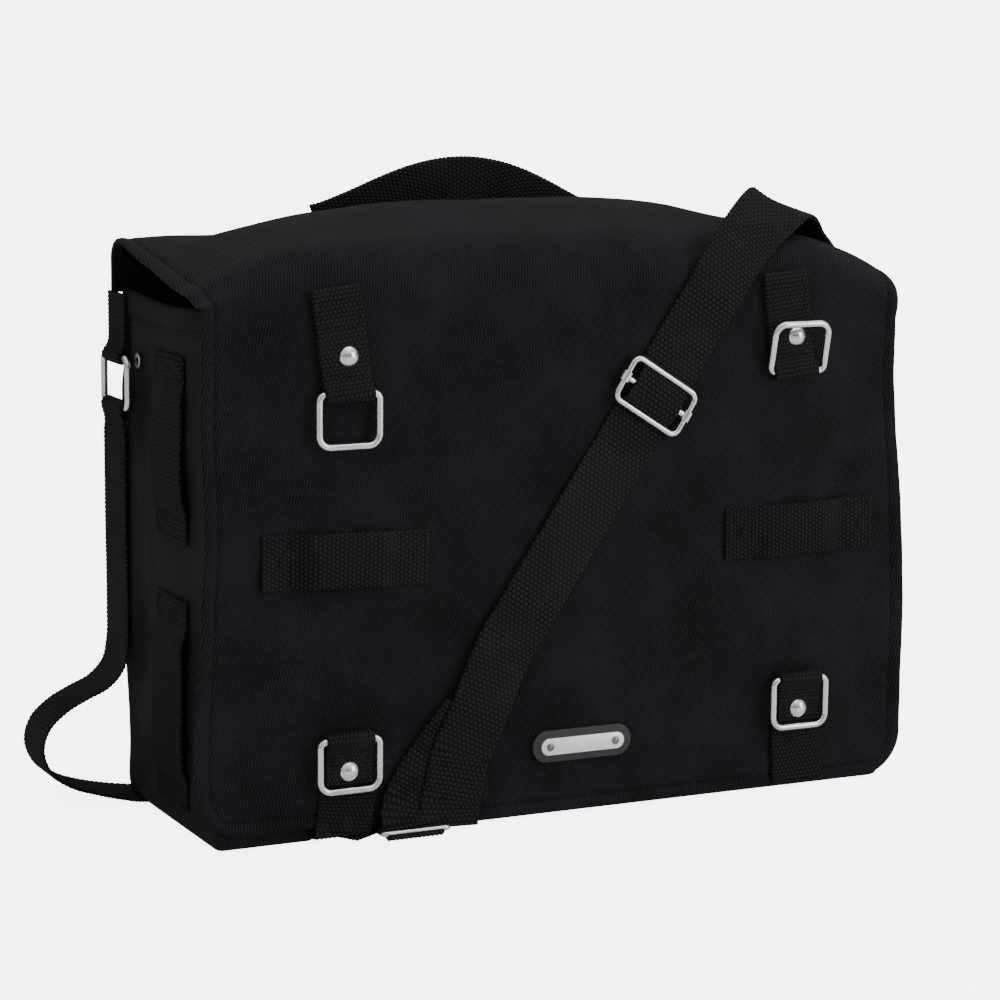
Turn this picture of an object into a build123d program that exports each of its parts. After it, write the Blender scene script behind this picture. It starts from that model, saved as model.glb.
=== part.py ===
from build123d import *
import os
from math import atan2, cos, degrees, hypot, radians, sin, sqrt

# A canvas messenger bag.  +Z is up, the front looks along -Y and +X is to the right of a person
# who faces the front.  The origin is the middle of the plane the bag rests on.  Millimetres.

# ---- driving dimensions ----------------------------------------------------------------------
bag_width = 380.0          # canvas body from side wall to side wall, outside
bag_depth = 130.0          # canvas body from front to back, outside
mouth_height = 262.0       # top edge of the walls above the resting plane
canvas = 2.0               # a wall or the flap: two plies of heavy twill
corner_r = 4.0             # upright corners of the body
base_pad = 6.0             # padded canvas base
board = 2.0                # stiff board that lies on the base
binding = 1.2              # tape that closes the raw edge of the mouth
binding_drop = 14.0        # how far the tape turns down inside

flap_overhang = 5.0        # flap past each side wall
flap_rise = 28.0           # top of the flap above the mouth
flap_hem = 8.0             # lower edge of the flap above the resting plane
flap_corner_r = 17.0       # its two lower corners
back_r = 12.0              # bend between top and back seam
seam_drop = 14.0           # top of the flap down to the back seam's hinge line
seam_width = 12.0          # seam allowance below that line

webbing = 1.8              # thickness of every strap and tab
tab_width = 25.0           # tabs that carry rings
strap_width = 32.0         # shoulder strap
closure_width = 27.0       # closure strap below its ring

wire = 3.6                 # ring wire, diameter
ring_play = 1.4            # between a tab's edge and the ring's side wire
ring_height = 29.0
ring_corner = 3.1          # wire's centre line, corners in the fold
ring_bow = 6.0             # wire's centre line, free corners
side_ring_play = 2.9       # the same at the rings that carry the shoulder strap
link_wire = 3.0            # flat link at the strap's lower end
link_play = 1.0
link_narrow = 1.0          # the strap is pulled in this much at each edge of the link
link_gap = 0.5             # between the two folds that share the link

left_column = 73.0         # flap's left edge to the tab, loop and closure on the left
right_column = 62.0        # flap's right edge to those on the right
right_tab_shift = 6.0      # the upper right tab sits this much further in
tab_top = 18.0             # top of the flap down to the sewn end of an upper tab
tab_length = 50.0          # sewn end down to the ring's axis
rivet_below = 32.0         # sewn end down to the rivet
belt_loop_length = 87.0
belt_loop_height = 27.0
belt_loop_drop = 149.0     # top of the flap down to the loops
belt_loop_sewn = 17.0      # stitched length at each end
belt_loop_bulge = 2.6      # slack of the part in between
left_closure_z = 52.0      # ring axis of each closure above the resting plane
right_closure_z = 60.0
snap_below = 16.0          # ring axis down to the press stud
snap_r = 5.0               # caps of the press studs and of the upper rivets
snap_dome = 2.4
rivet_shank_r = 1.54
snap_slot = 0.9            # width of the slot in a cap
socket_r = 3.2             # spring half in the strap
socket_bore = 2.1
post_r = 1.7               # post half on the flap
post_flange_r = 4.5
closure_lift = 0.5         # closure strap off the flap
closure_tail = 8.0         # webbing under the base, behind the front edge
tail_gap = 0.3             # over the shoulder strap that passes below it

badge_x = 7.0
badge_z = 37.0
badge_length = 56.0
badge_height = 16.5
badge_leather = 1.6
plate_length = 47.0
plate_height = 8.6
plate = 1.0
screw_pitch = 37.0
screw_r = 2.2
screw_dome = 0.9
screw_shank_r = 0.84

side_loop_width = 42.0
side_loop_y = -9.0
upper_loop_drop = 24.0     # mouth down to the upper side loop
upper_loop_length = 92.0
side_loop_gap = 28.0       # between the two loops
lower_loop_low = 12.0
side_loop_sewn = 14.0
side_loop_bulge = 3.0
side_stud_r = 3.0
side_stud_z = 90.0
side_stud_in = 9.0         # in front of the body's back face
side_stud_dome = 1.2
side_stud_shank_r = 1.0

side_ring_y = 64.0         # middle of the shoulder strap at the bag's sides
side_ring_drop = 33.0      # mouth down to the axis the side rings turn about
side_ring_corner = 4.5
ring_tab_rise = 32.0       # that axis up to the sewn end of its tab
eyelet_r = 4.0
eyelet_hole_r = 2.2
eyelet_lip = 0.8
right_ring_lift = 115.0    # the strap holds the right ring turned up this far, degrees
strap_stub = 44.0          # sewn double end of the strap below the left ring
strap_narrow = 2.0         # each edge of that end is drawn in this much to pass the ring

link_side_gap = 1.5        # between the link and the closure strap beside it
strap_knee_in = 70.0       # left column to where it changes direction
strap_knee_z = 68.0
strap_shoulder_in = 42.0   # right column to the middle of the strap at the shoulder
strap_foot_z = 28.0        # below this the strap leaves the flap for its link
slider_play = 2.8          # between the strap's edge and the slider's side wire
slider_length = 27.0
slider_wire = 3.2
slider_corner = 4.0
slider_sleeve = 1.1        # wall of the middle bar's sleeves
slider_drop = 77.0         # top of the flap down to the slider

handle_y = 48.0            # carry handle, on top near the back seam
handle_span = 180.0
handle_x = -5.0
handle_rise = 28.0
handle_width = 20.0
handle_thick = 4.0
handle_pad = 26.0          # sewn pad under each foot, along the bag
handle_pad_depth = 14.0

rest_gap = 0.4             # between cloths that move on each other
strap_lift = 0.3           # strap above the flap it lies on
floor_gap = 0.1            # strap above the resting plane
fit = 0.06                 # radial clearance of wire in a webbing fold
split = 0.3                # between two bodies at a fold line
eps = 0.02

# ---- values that follow ----------------------------------------------------------------------
half_w = bag_width / 2
half_d = bag_depth / 2
flap_half = half_w + flap_overhang
front = -(half_d + rest_gap + canvas)      # flap's outer face in front
back = half_d + rest_gap + canvas          # flap's outer face behind
top = mouth_height + flap_rise             # flap's outer face on top
hinge_z = top - seam_drop
shoulder_r = flap_rise - binding - 0.8     # bend between top and front, clear of the mouth
inside_floor = base_pad + board
wire_r = wire / 2
fold_r = wire_r + fit + webbing            # outside of the webbing folded round a wire
ring_drop = ring_height - wire             # between the two cross wires' centre lines
ring_width = tab_width + 2 * (wire + ring_play)
strap_end_width = strap_width - 2 * strap_narrow
side_ring_width = strap_end_width + 2 * (wire + side_ring_play)
left_x = -flap_half + left_column
right_x = flap_half - right_column
right_tab_x = right_x - right_tab_shift
tab_axis_z = top - tab_top - tab_length    # the upper rings turn about it
rivet_z = top - tab_top - rivet_below
belt_loop_z = top - belt_loop_drop
upper_loop_high = mouth_height - upper_loop_drop
upper_loop_low = upper_loop_high - upper_loop_length
lower_loop_high = upper_loop_low - side_loop_gap
side_ring_z = mouth_height - side_ring_drop
shoulder_y = front + shoulder_r            # centre of the shoulder's bend
shoulder_z = top - shoulder_r
side_stud_y = half_d - side_stud_in
tail_low = floor_gap + webbing + tail_gap
fold_lift = closure_lift + fold_r + 0.3    # closure ring's axis off the flap
slider_z = top - slider_drop
slider_width = strap_width + 2 * (slider_wire + slider_play)
slider_height = strap_lift + webbing + rest_gap + slider_wire / 2     # its wires above the flap
strap_face = front - strap_lift - webbing / 2     # strap's middle surface on the front
strap_knee = (left_x + strap_knee_in, strap_knee_z)
strap_shoulder_x = right_x - strap_shoulder_in
link_r = link_wire / 2
link_fold = link_r + fit + webbing         # outside of the webbing folded round the link
link_z = link_fold + floor_gap
link_pitch = 2 * link_fold + link_gap      # between the link's two long wires
link_back_y = -half_d - 0.3 - link_fold
link_front_y = link_back_y - link_pitch
link_straight = strap_width / 2 - link_narrow     # half width of the webbing in the folds
link_width = 2 * (link_straight + link_play + link_wire)
strap_foot_x = left_x + closure_width / 2 + link_side_gap + link_width / 2
handle_foot = top + webbing + rest_gap + handle_thick / 2      # handle's hinge line


# ---- helpers ---------------------------------------------------------------------------------
def span(x0, x1, y0, y1, z0, z1):
    """Box between three pairs of limits."""
    size = Box(abs(x1 - x0), abs(y1 - y0), abs(z1 - z0))
    return Pos((x0 + x1) / 2, (y0 + y1) / 2, (z0 + z1) / 2) * size


def rod(start, end, radius):
    """Round bar between two points."""
    a, b = Vector(*start), Vector(*end)
    length = (b - a).length
    return Plane(origin=a, z_dir=b - a) * Pos(0, 0, length / 2) * Cylinder(radius, length)


def body_tube(offset, z0, z1):
    """Upright block with the body's plan, grown by offset."""
    plan = RectangleRounded(bag_width + 2 * offset, bag_depth + 2 * offset, corner_r + offset)
    return Pos(0, 0, z0) * extrude(plan, amount=z1 - z0)


def flap_block(offset, x0, x1, z0):
    """Block under the flap's outer surface, grown by offset."""
    block = span(x0, x1, front - offset, back + offset, z0, top + offset)
    edge = block.edges().filter_by(Axis.X).group_by(Axis.Z)[-1].sort_by(Axis.Y)[0]
    block = fillet(edge, shoulder_r + offset)
    edge = block.edges().filter_by(Axis.X).group_by(Axis.Z)[-1].sort_by(Axis.Y)[-1]
    return fillet(edge, back_r + offset)


def flap_layer(inner, outer, x0, x1, z0=0.0):
    """Cloth that follows the flap between two offsets from its outer surface."""
    return flap_block(outer, x0, x1, z0) - flap_block(inner, x0 - 1, x1 + 1, z0 - 1)


def shoulder_side(sign, gap=split):
    """Everything before (-1) or behind (+1) the fold line in the shoulder."""
    big = 2 * (bag_depth + mouth_height)
    place = Pos(0, shoulder_y, shoulder_z) * Rot(-45, 0, 0)
    return place * Pos(0, 0, sign * (big + gap) / 2) * Box(4 * bag_width, big, big)


def slab_prism(points, width, low, high):
    """Straight band through points (u, v) in a plane, between two heights above that plane."""
    (u0, v0), (u1, v1) = points
    length = hypot(u1 - u0, v1 - v0)
    turn = degrees(atan2(v1 - v0, u1 - u0))
    band = Pos((u0 + u1) / 2, (v0 + v1) / 2, 0) * Rot(0, 0, turn) * Rectangle(length, width)
    return Pos(0, 0, low) * extrude(band, amount=high - low)


def front_band(points, width):
    """The same band seen from the front: u is x, v is z, deep enough to cut any layer."""
    return Plane.XZ * slab_prism(points, width, -bag_depth, bag_depth)


def ribbon(frames, width, thick=webbing):
    """Strap through frames (centre, direction of its width), as one ruled loft."""
    centres = [Vector(*c) for c, _ in frames]
    sections = []
    for i, (_, across) in enumerate(frames):
        before = centres[max(i - 1, 0)]
        after = centres[min(i + 1, len(centres) - 1)]
        along = (after - before).normalized()
        w = Vector(*across)
        w = (w - along * w.dot(along)).normalized()
        sections.append(Plane(origin=centres[i], x_dir=w, z_dir=along) * Rectangle(width, thick))
    return loft(sections, ruled=True)


def ring(width, height, wire_d, fold_corner, free_corner):
    """Wire ring in the local XZ plane, hanging from its top wire's axis at the origin."""
    w, h = width - wire_d, height - wire_d
    outline = Pos(0, -h / 2) * Rectangle(w, h)
    outline = fillet(outline.vertices().group_by(Axis.Y)[-1], fold_corner)
    outline = fillet(outline.vertices().group_by(Axis.Y)[0], free_corner)
    path = (Plane.XZ * outline).face().outer_wire()
    start = Plane(origin=path @ 0, z_dir=path % 0)
    return sweep(start * Circle(wire_d / 2), path=path)


def dome(radius, height):
    """Low round cap whose face looks along +Z, seated at the origin."""
    ball = (radius ** 2 + height ** 2) / (2 * height)
    return Pos(0, 0, height - ball) * Sphere(ball) & Pos(0, 0, height / 2) * Cylinder(radius, height)


def domed(radius, height, shank_r, shank):
    """Cap whose face looks along +Z, seated at the origin, with its shank below."""
    return dome(radius, height) + Pos(0, 0, -shank / 2) * Cylinder(shank_r, shank)


def facing_front(x, offset, z):
    """Frame on the flap's front: local +Z looks out of the bag, local +Y is up."""
    return Pos(x, front - offset, z) * Rot(90, 0, 0)


def stadium(length, height, thick):
    return extrude(SlotOverall(length, height), amount=thick)


def bulged_band(length, width, sewn, bulge, lean):
    """Webbing flat at both ends with a slack middle, along local X, standing on local Z=0."""
    half = length / 2
    inner = [(-half, 0), (-half + sewn, 0), (-half + sewn + lean, bulge)]
    inner += [(-u, v) for u, v in reversed(inner)]
    outer = [(u, v + webbing) for u, v in inner]
    side = make_face(Polyline(*inner, *reversed(outer), close=True))
    return Plane.XZ * Pos(0, 0, -width / 2) * extrude(side, amount=width)


# ---- canvas body -----------------------------------------------------------------------------
def walls():
    """The four walls between the padded base and the mouth, cut apart at the upright seams."""
    tube = body_tube(0, base_pad, mouth_height) - body_tube(-canvas, base_pad, mouth_height)
    cut_y = half_d - corner_r
    low, high = base_pad, mouth_height
    for side in (-1, 1):
        outer = (side * (half_w + 1), side_stud_y, side_stud_z)
        inner = (side * (half_w - 2 * canvas), side_stud_y, side_stud_z)
        tube -= rod(outer, inner, side_stud_shank_r)
    return {
        "front_panel": tube & span(-half_w, half_w, -half_d, -cut_y, low, high),
        "back_panel": tube & span(-half_w, half_w, cut_y, half_d, low, high),
        "side_panel_left": tube & span(-half_w, -half_w + canvas, -cut_y, cut_y, low, high),
        "side_panel_right": tube & span(half_w - canvas, half_w, -cut_y, cut_y, low, high),
    }


def closure_anchor(x):
    """Sewn end of a closure strap, let into the base."""
    half = closure_width / 2
    return span(x - half, x + half, front, -half_d + closure_tail, tail_low, tail_low + webbing)


def under_run(grow=0.0):
    """Shoulder strap under the base, from its link in front to the back left corner."""
    width = strap_width + 2 * grow
    low, high = floor_gap - grow, floor_gap + webbing + grow
    elbow = (-half_w + 18, side_ring_y - 12)
    start = (strap_foot_x - 8, -half_d - 12)
    side = (-half_w - 40, side_ring_y)
    run = slab_prism([start, elbow], width, low, high)
    run += slab_prism([elbow, side], width, low, high)
    run += Pos(*elbow, (low + high) / 2) * Cylinder(width / 2, high - low)
    return run & span(-half_w - 14, half_w, -half_d - 0.2, 2 * half_d, low, high)


def base_panel():
    """Padded base, with shallow hollows where the webbing presses into it."""
    base = body_tube(0, 0, base_pad)
    half = closure_width / 2 + 0.3
    for x in (left_x, right_x):
        base -= span(x - half, x + half, -half_d - 1, -half_d + closure_tail + 0.3, -1,
                     tail_low + webbing + eps)
    return base - (under_run(0.25) + Pos(0, 0, -0.1) * under_run(0.25))


def mouth_binding():
    """Tape over the raw edge of the mouth, turned down inside."""
    cap = body_tube(0, mouth_height, mouth_height + binding)
    cap -= body_tube(-canvas - binding, mouth_height - 1, mouth_height + 2 * binding)
    skirt = body_tube(-canvas, mouth_height - binding_drop, mouth_height)
    skirt -= body_tube(-canvas - binding, mouth_height - binding_drop - 1, mouth_height + 1)
    return cap + skirt


def base_board():
    return body_tube(-canvas - 1.0, base_pad, inside_floor)


# ---- side webbing ----------------------------------------------------------------------------
def side_loop(side, low, high):
    """Upright webbing loop on a side wall; side is -1 on the left and 1 on the right."""
    band = bulged_band(high - low, side_loop_width, side_loop_sewn, side_loop_bulge,
                       3 * side_loop_bulge)
    stand = Plane(origin=(side * half_w, side_loop_y, (low + high) / 2), x_dir=(0, 0, 1),
                  z_dir=(side, 0, 0))
    return stand * band


def side_stud(side):
    place = Plane(origin=(side * half_w, side_stud_y, side_stud_z), z_dir=(side, 0, 0))
    return place * domed(side_stud_r, side_stud_dome, side_stud_shank_r, canvas)


def ring_tab(side):
    """Doubled webbing sewn over the back edge of a side wall; the ring's wire turns in its fold."""
    x = side * (half_w + fold_r)
    y0, y1 = side_ring_y - tab_width / 2, side_ring_y + tab_width / 2
    tab = span(side * half_w, side * (half_w + 2 * webbing), y0, y1, side_ring_z,
               side_ring_z + ring_tab_rise)
    tab += rod((x, y0, side_ring_z), (x, y1, side_ring_z), fold_r)
    return tab - rod((x, y0 - 1, side_ring_z), (x, y1 + 1, side_ring_z), wire_r + fit)


def eyelet(side):
    """Eyelet in the wall beside the ring's front arm."""
    y = side_ring_y - side_ring_width / 2 - eyelet_r
    place = Plane(origin=(side * half_w, y, side_ring_z), z_dir=(side, 0, 0))
    rim = Cylinder(eyelet_r, eyelet_lip) - Cylinder(eyelet_hole_r, 2 * eyelet_lip)
    return place * Pos(0, 0, eyelet_lip / 2) * rim


def side_ring(side, turn):
    """Ring in the tab's fold, turned up and outwards by turn degrees."""
    shape = ring(side_ring_width, ring_height, wire, side_ring_corner, side_ring_corner)
    place = Pos(side * (half_w + fold_r), side_ring_y, side_ring_z) * Rot(0, -side * turn, 0)
    return place * Rot(0, 0, 90) * shape


def low_wire(side, turn):
    """Where a side ring's lower wire is, as (x, z)."""
    a = radians(turn)
    return side * (half_w + fold_r + ring_drop * sin(a)), side_ring_z - ring_drop * cos(a)


def wire_fold(x, z):
    """Strap folded round a side ring's lower wire, and the bore the wire lies in."""
    y0, y1 = side_ring_y - strap_end_width / 2, side_ring_y + strap_end_width / 2
    fold = rod((x, y0, z), (x, y1, z), fold_r)
    return fold, rod((x, y0 - 1, z), (x, y1 + 1, z), wire_r + fit)


def strap_end_left():
    """Sewn double end of the shoulder strap below the left ring."""
    x, z = low_wire(-1, 0)
    fold, bore = wire_fold(x, z)
    half, slim = strap_width / 2, strap_end_width / 2
    neck_z = z - fold_r - 0.5
    stub = span(x - webbing, x + webbing, side_ring_y - half, side_ring_y + half, z - strap_stub, neck_z)
    neck = span(x - webbing, x + webbing, side_ring_y - slim, side_ring_y + slim, neck_z - 0.5, z)
    return fold + stub + neck - bore


def strap_end_right():
    """Sewn double end of the shoulder strap on the right ring, rising to the top of the bag."""
    x, z = low_wire(1, right_ring_lift)
    fold, bore = wire_fold(x, z)
    y = side_ring_y
    frames = [
        ((x, y, z + 2.6), (0, 1, 0)),
        ((x + 1, y - 1, z + 12), (0, 1, 0)),
        ((x - 1, y - 7, z + 24), (0.05, 1, 0.05)),
        ((x - 6, y - 17, z + 36), (0.25, 1, -0.1)),
    ]
    return fold + ribbon(frames, strap_end_width, 2 * webbing) - bore


def strap_left_run():
    """Shoulder strap from the sewn end down the back left corner, out in a loop and to the floor."""
    x, z = low_wire(-1, 0)
    start = z - strap_stub - split
    floor = floor_gap + webbing / 2
    out = -half_w - 51
    points = [(x, start), (x, 96), (x - 6, 80), (x - 22, 66), (out + 8, 50), (out, 34),
              (out + 6, 16), (out + 20, 5), (-half_w - 14 - split, floor)]
    frames = [((px, side_ring_y, pz), (0, 1, 0)) for px, pz in points]
    return ribbon(frames, strap_width)


# ---- flap ------------------------------------------------------------------------------------
def flap_shell():
    return flap_layer(-canvas, 0, -flap_half, flap_half)


def flap_top():
    behind = span(-flap_half, flap_half, -2 * bag_depth, 0, 0, 2 * mouth_height)
    above = span(-flap_half, flap_half, 0, 2 * bag_depth, hinge_z + split / 2, 2 * mouth_height)
    return flap_shell() & (behind + above) & shoulder_side(1)


def flap_front():
    sheet = flap_shell() & shoulder_side(-1)
    sheet &= span(-flap_half, flap_half, -2 * bag_depth, 0, flap_hem, 2 * mouth_height)
    low = sheet.edges().filter_by(Axis.Y).group_by(Axis.Z)[0]
    return fillet(low, flap_corner_r)


def flap_seam():
    """Seam allowance that joins the flap to the back panel."""
    return span(-flap_half + 6, flap_half - 6, half_d, back, hinge_z - seam_width, mouth_height) \
        + span(-flap_half + 6, flap_half - 6, half_d + rest_gap, back, mouth_height - 1,
               hinge_z - split / 2)


def upper_tab(x):
    """Doubled webbing sewn to the shoulder; the ring's wire turns in its lower fold."""
    axis_z = tab_axis_z
    half = tab_width / 2
    tab = flap_layer(0, 2 * webbing, x - half, x + half)
    tab &= span(x - half, x + half, 2 * front, 0, axis_z + 2, top - tab_top)
    y = front - fold_r
    tab += rod((x - half, y, axis_z), (x + half, y, axis_z), fold_r)
    tab += span(x - half, x + half, front - 2 * webbing, front, axis_z, axis_z + 3)
    tab -= rod((x - half - 1, y, axis_z), (x + half + 1, y, axis_z), wire_r + fit)
    return tab - rivet_hole(x)


def rivet_hole(x):
    return facing_front(x, 0, rivet_z) * Cylinder(rivet_shank_r + fit, 4 * webbing + 2)


def upper_rivet(x):
    place = facing_front(x, 2 * webbing, rivet_z)
    return place * domed(snap_r, snap_dome, rivet_shank_r, 2 * webbing)


def upper_ring(x, turn):
    """Ring in the tab's fold, turned out and up by turn degrees."""
    shape = ring(ring_width, ring_height, wire, ring_corner, ring_bow)
    return Pos(x, front - fold_r, tab_axis_z) * Rot(-turn, 0, 0) * shape


def belt_loop(x):
    band = bulged_band(belt_loop_length, belt_loop_height, belt_loop_sewn, belt_loop_bulge,
                       3 * belt_loop_bulge)
    return facing_front(x, 0, belt_loop_z) * band


def badge():
    """Leather patch, metal plate and the plate's two screws."""
    seat = facing_front(badge_x, 0, badge_z)
    hole = Cylinder(screw_shank_r + fit, 12)
    holes = Pos(-screw_pitch / 2, 0, 0) * hole + Pos(screw_pitch / 2, 0, 0) * hole
    patch = stadium(badge_length, badge_height, badge_leather) - holes
    metal = Pos(0, 0, badge_leather) * stadium(plate_length, plate_height, plate) - holes
    face = badge_leather + plate
    screws = []
    for u in (-screw_pitch / 2, screw_pitch / 2):
        screw = Pos(u, 0, face) * domed(screw_r, screw_dome, screw_shank_r, face)
        slot = Pos(u, 0, face + screw_dome) * Box(2 * screw_r, 0.5, 0.7)
        screws.append(seat * (screw - slot))
    return {"badge_patch": seat * patch, "badge_plate": seat * metal,
            "badge_screws": Compound(children=[s.solid() for s in screws])}


# ---- closures --------------------------------------------------------------------------------
def closure_strap(x, axis_z):
    """Strap up the front, folded over its ring and back down over the press stud."""
    wide, slim = closure_width / 2, tab_width / 2
    inner, single = front - closure_lift, front - closure_lift - webbing
    double = single - webbing
    low = tail_low
    step = axis_z - ring_drop + wire_r
    strap = span(x - wide, x + wide, single, inner, low, step)
    strap += span(x - slim, x + slim, single, inner, low, axis_z)
    strap += span(x - slim, x + slim, double, inner, step + 1.2, axis_z)
    y = front - fold_lift
    strap += rod((x - slim, y, axis_z), (x + slim, y, axis_z), fold_r)
    strap += span(x - slim, x + slim, y, inner, axis_z, axis_z + fold_r - 0.4)
    strap -= rod((x - slim - 1, y, axis_z), (x + slim + 1, y, axis_z), wire_r + fit)
    return strap - facing_front(x, 3, axis_z - snap_below) * Cylinder(socket_r, 12)


def snap_socket(x, axis_z):
    """Spring half of the press stud, set in the strap."""
    length = 2 * webbing - 0.1
    body = Pos(0, 0, closure_lift + 0.1 + length / 2) * Cylinder(socket_r, length)
    body -= Pos(0, 0, closure_lift) * Cylinder(socket_bore, 4)
    return facing_front(x, 0, axis_z - snap_below) * body


def snap_cap(x, axis_z):
    offset = closure_lift + 2 * webbing
    cap = dome(snap_r, snap_dome)
    slot = Pos(0, 0, snap_dome) * Box(snap_r - 0.4, snap_slot, 0.8)
    return facing_front(x, offset, axis_z - snap_below) * (cap - slot)


def snap_stud(x, axis_z):
    """Post half of the press stud, riveted to the flap."""
    stud = Pos(0, 0, 0.1) * Cylinder(post_flange_r, 0.2) + Pos(0, 0, 1.0) * Cylinder(post_r, 2.0)
    return facing_front(x, 0, axis_z - snap_below) * stud


def closure_ring(x, axis_z):
    shape = ring(ring_width, ring_height, wire, ring_corner, ring_bow)
    return Pos(x, front - fold_lift, axis_z) * shape


# ---- shoulder strap over the front -----------------------------------------------------------
def strap_line(z):
    """Middle of the strap on the front at height z."""
    knee_x, knee_z = strap_knee
    if z < knee_z:
        return strap_foot_x + (knee_x - strap_foot_x) * z / knee_z
    rise = (shoulder_z + shoulder_r * sqrt(0.5)) - knee_z
    return knee_x + (strap_shoulder_x - knee_x) * (z - knee_z) / rise


def strap_front():
    """Strap from its fold round the link up the front to the shoulder."""
    layer = flap_layer(strap_lift, strap_lift + webbing, -flap_half, flap_half)
    above = top + 40
    upper = front_band([strap_knee, (strap_line(above), above)], strap_width)
    lower = front_band([(strap_foot_x, 0.0), strap_knee], strap_width)
    knee = Plane.XZ * Pos(*strap_knee, 0) * Cylinder(strap_width / 2, 4 * bag_depth)
    strap = layer & (upper + lower + knee) & shoulder_side(-1)
    strap &= span(-flap_half, flap_half, 2 * front, 0, strap_foot_z, 2 * top)
    low = Vector(strap_foot_x, link_front_y - 0.6, link_z + link_r + 1.0)
    high = Vector(strap_line(strap_foot_z), strap_face, strap_foot_z)
    rise = Vector(0, high.Y - low.Y, high.Z - low.Z)
    slope = hypot(strap_knee[0] - strap_foot_x, strap_knee_z) / strap_knee_z
    foot = Plane(origin=low, x_dir=(1, 0, 0), z_dir=rise) * Rectangle(2 * link_straight, webbing)
    head = Plane(origin=high, x_dir=(1, 0, 0), z_dir=rise) * Rectangle(slope * strap_width, webbing)
    leg = loft([foot, head], ruled=True) - flap_block(strap_lift, -flap_half, flap_half, 0)
    x0, x1 = strap_foot_x - link_straight, strap_foot_x + link_straight
    fold = rod((x0, link_front_y, link_z), (x1, link_front_y, link_z), link_fold)
    bore = rod((x0 - 9, link_front_y, link_z), (x1 + 9, link_front_y, link_z), link_r + fit)
    return strap + leg + fold - bore


def strap_end_patch():
    """Raw end of the strap, sewn back on its own front above the link."""
    out = webbing + 0.15
    frames = [
        ((strap_foot_x + 5, link_front_y - 0.2 - out, 11.0), (1, 0, -0.1)),
        ((strap_line(strap_foot_z) + 7, strap_face - out, strap_foot_z + 2), (1, 0, -0.35)),
        ((strap_line(strap_foot_z + 20) + 5, strap_face - out, strap_foot_z + 20), (1, 0, -0.45)),
    ]
    return ribbon(frames, strap_width - 2)


def strap_link():
    """Flat wire link between the long strap and the strap under the base."""
    shape = ring(link_width, link_pitch + link_wire, link_wire, 2.2, 2.2)
    return Pos(strap_foot_x, link_back_y, link_z) * Rot(-90, 0, 0) * shape


def strap_link_fold():
    """End of the strap under the base, folded round the link's back wire."""
    x0, x1 = strap_foot_x - link_straight, strap_foot_x + link_straight
    y = link_back_y
    return rod((x0, y, link_z), (x1, y, link_z), link_fold) - \
        rod((x0 - 1, y, link_z), (x1 + 1, y, link_z), link_r + fit)


def strap_over():
    """Strap from the shoulder in a slack bend over the right of the bag, towards the right ring."""
    s = sqrt(0.5)
    r = shoulder_r + strap_lift + webbing / 2
    along = Vector(0.555, 0.588, 0.588)
    first = Vector(strap_shoulder_x, shoulder_y - r * s, shoulder_z + r * s)
    frames = [
        (first - along * 14, (0.83, -0.39, -0.39)),
        (first + along * 8, (0.83, -0.39, -0.39)),
        ((strap_shoulder_x + 18, shoulder_y - 2, top + 12), (0.84, -0.3, -0.4)),
        ((strap_shoulder_x + 32, shoulder_y + 14, top + 16), (0.8, -0.45, -0.35)),
        ((strap_shoulder_x + 58, shoulder_y + 38, top + 15), (0.7, -0.65, -0.25)),
        ((flap_half - 18, shoulder_y + 62, top + 11), (0.55, -0.8, -0.2)),
        ((flap_half + 4, shoulder_y + 80, top + 5), (0.4, -0.9, -0.1)),
    ]
    keep = shoulder_side(1) & span(-flap_half, flap_half + 9, 2 * front, 2 * back, 0, 2 * top)
    return ribbon(frames, strap_width) & keep


def slider_place():
    """Frame in the middle of the slider: local Y runs along the strap, local Z out of the bag."""
    lean = degrees(atan2(strap_line(top) - strap_line(0), top))
    return facing_front(strap_line(slider_z), 0, slider_z) * Rot(0, 0, -lean)


def slider_frame():
    """Rectangular wire frame that lies over the strap."""
    w, h = slider_width - slider_wire, slider_length - slider_wire
    outline = fillet(Rectangle(w, h).vertices(), slider_corner)
    path = outline.face().outer_wire()
    start = Plane(origin=path @ 0, z_dir=path % 0)
    shape = sweep(start * Circle(slider_wire / 2), path=path)
    return slider_place() * Pos(0, 0, slider_height) * shape


def slider_bar():
    """Middle bar with a sleeve round the frame's side wire at each end."""
    reach = (slider_width - slider_wire) / 2
    bar = rod((-reach, 0, 0), (reach, 0, 0), slider_wire / 2)
    bore = rod((reach, -9, 0), (reach, 9, 0), slider_wire / 2 + fit)
    bore += rod((-reach, -9, 0), (-reach, 9, 0), slider_wire / 2 + fit)
    for x in (-reach, reach):
        bar += rod((x, -2.6, 0), (x, 2.6, 0), slider_wire / 2 + slider_sleeve)
    return slider_place() * Pos(0, 0, slider_height) * (bar - bore)


def slider_fold():
    """Strap's own layer where it rides over the middle bar."""
    length = slider_length - 2 * slider_wire - 1.0
    floor = strap_lift + webbing + rest_gap
    bulge = slider_wire + 0.2
    band = bulged_band(length, strap_width - 2, 1.5, bulge, 4.6)
    return slider_place() * Pos(0, 0, floor) * Rot(0, 0, 90) * band


# ---- carry handle ----------------------------------------------------------------------------
def handle_anchor(x):
    """Webbing pad sewn flat on the flap under one foot of the handle."""
    return span(x - handle_pad / 2, x + handle_pad / 2, handle_y - handle_pad_depth / 2,
                handle_y + handle_pad_depth / 2, top, top + webbing)


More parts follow.
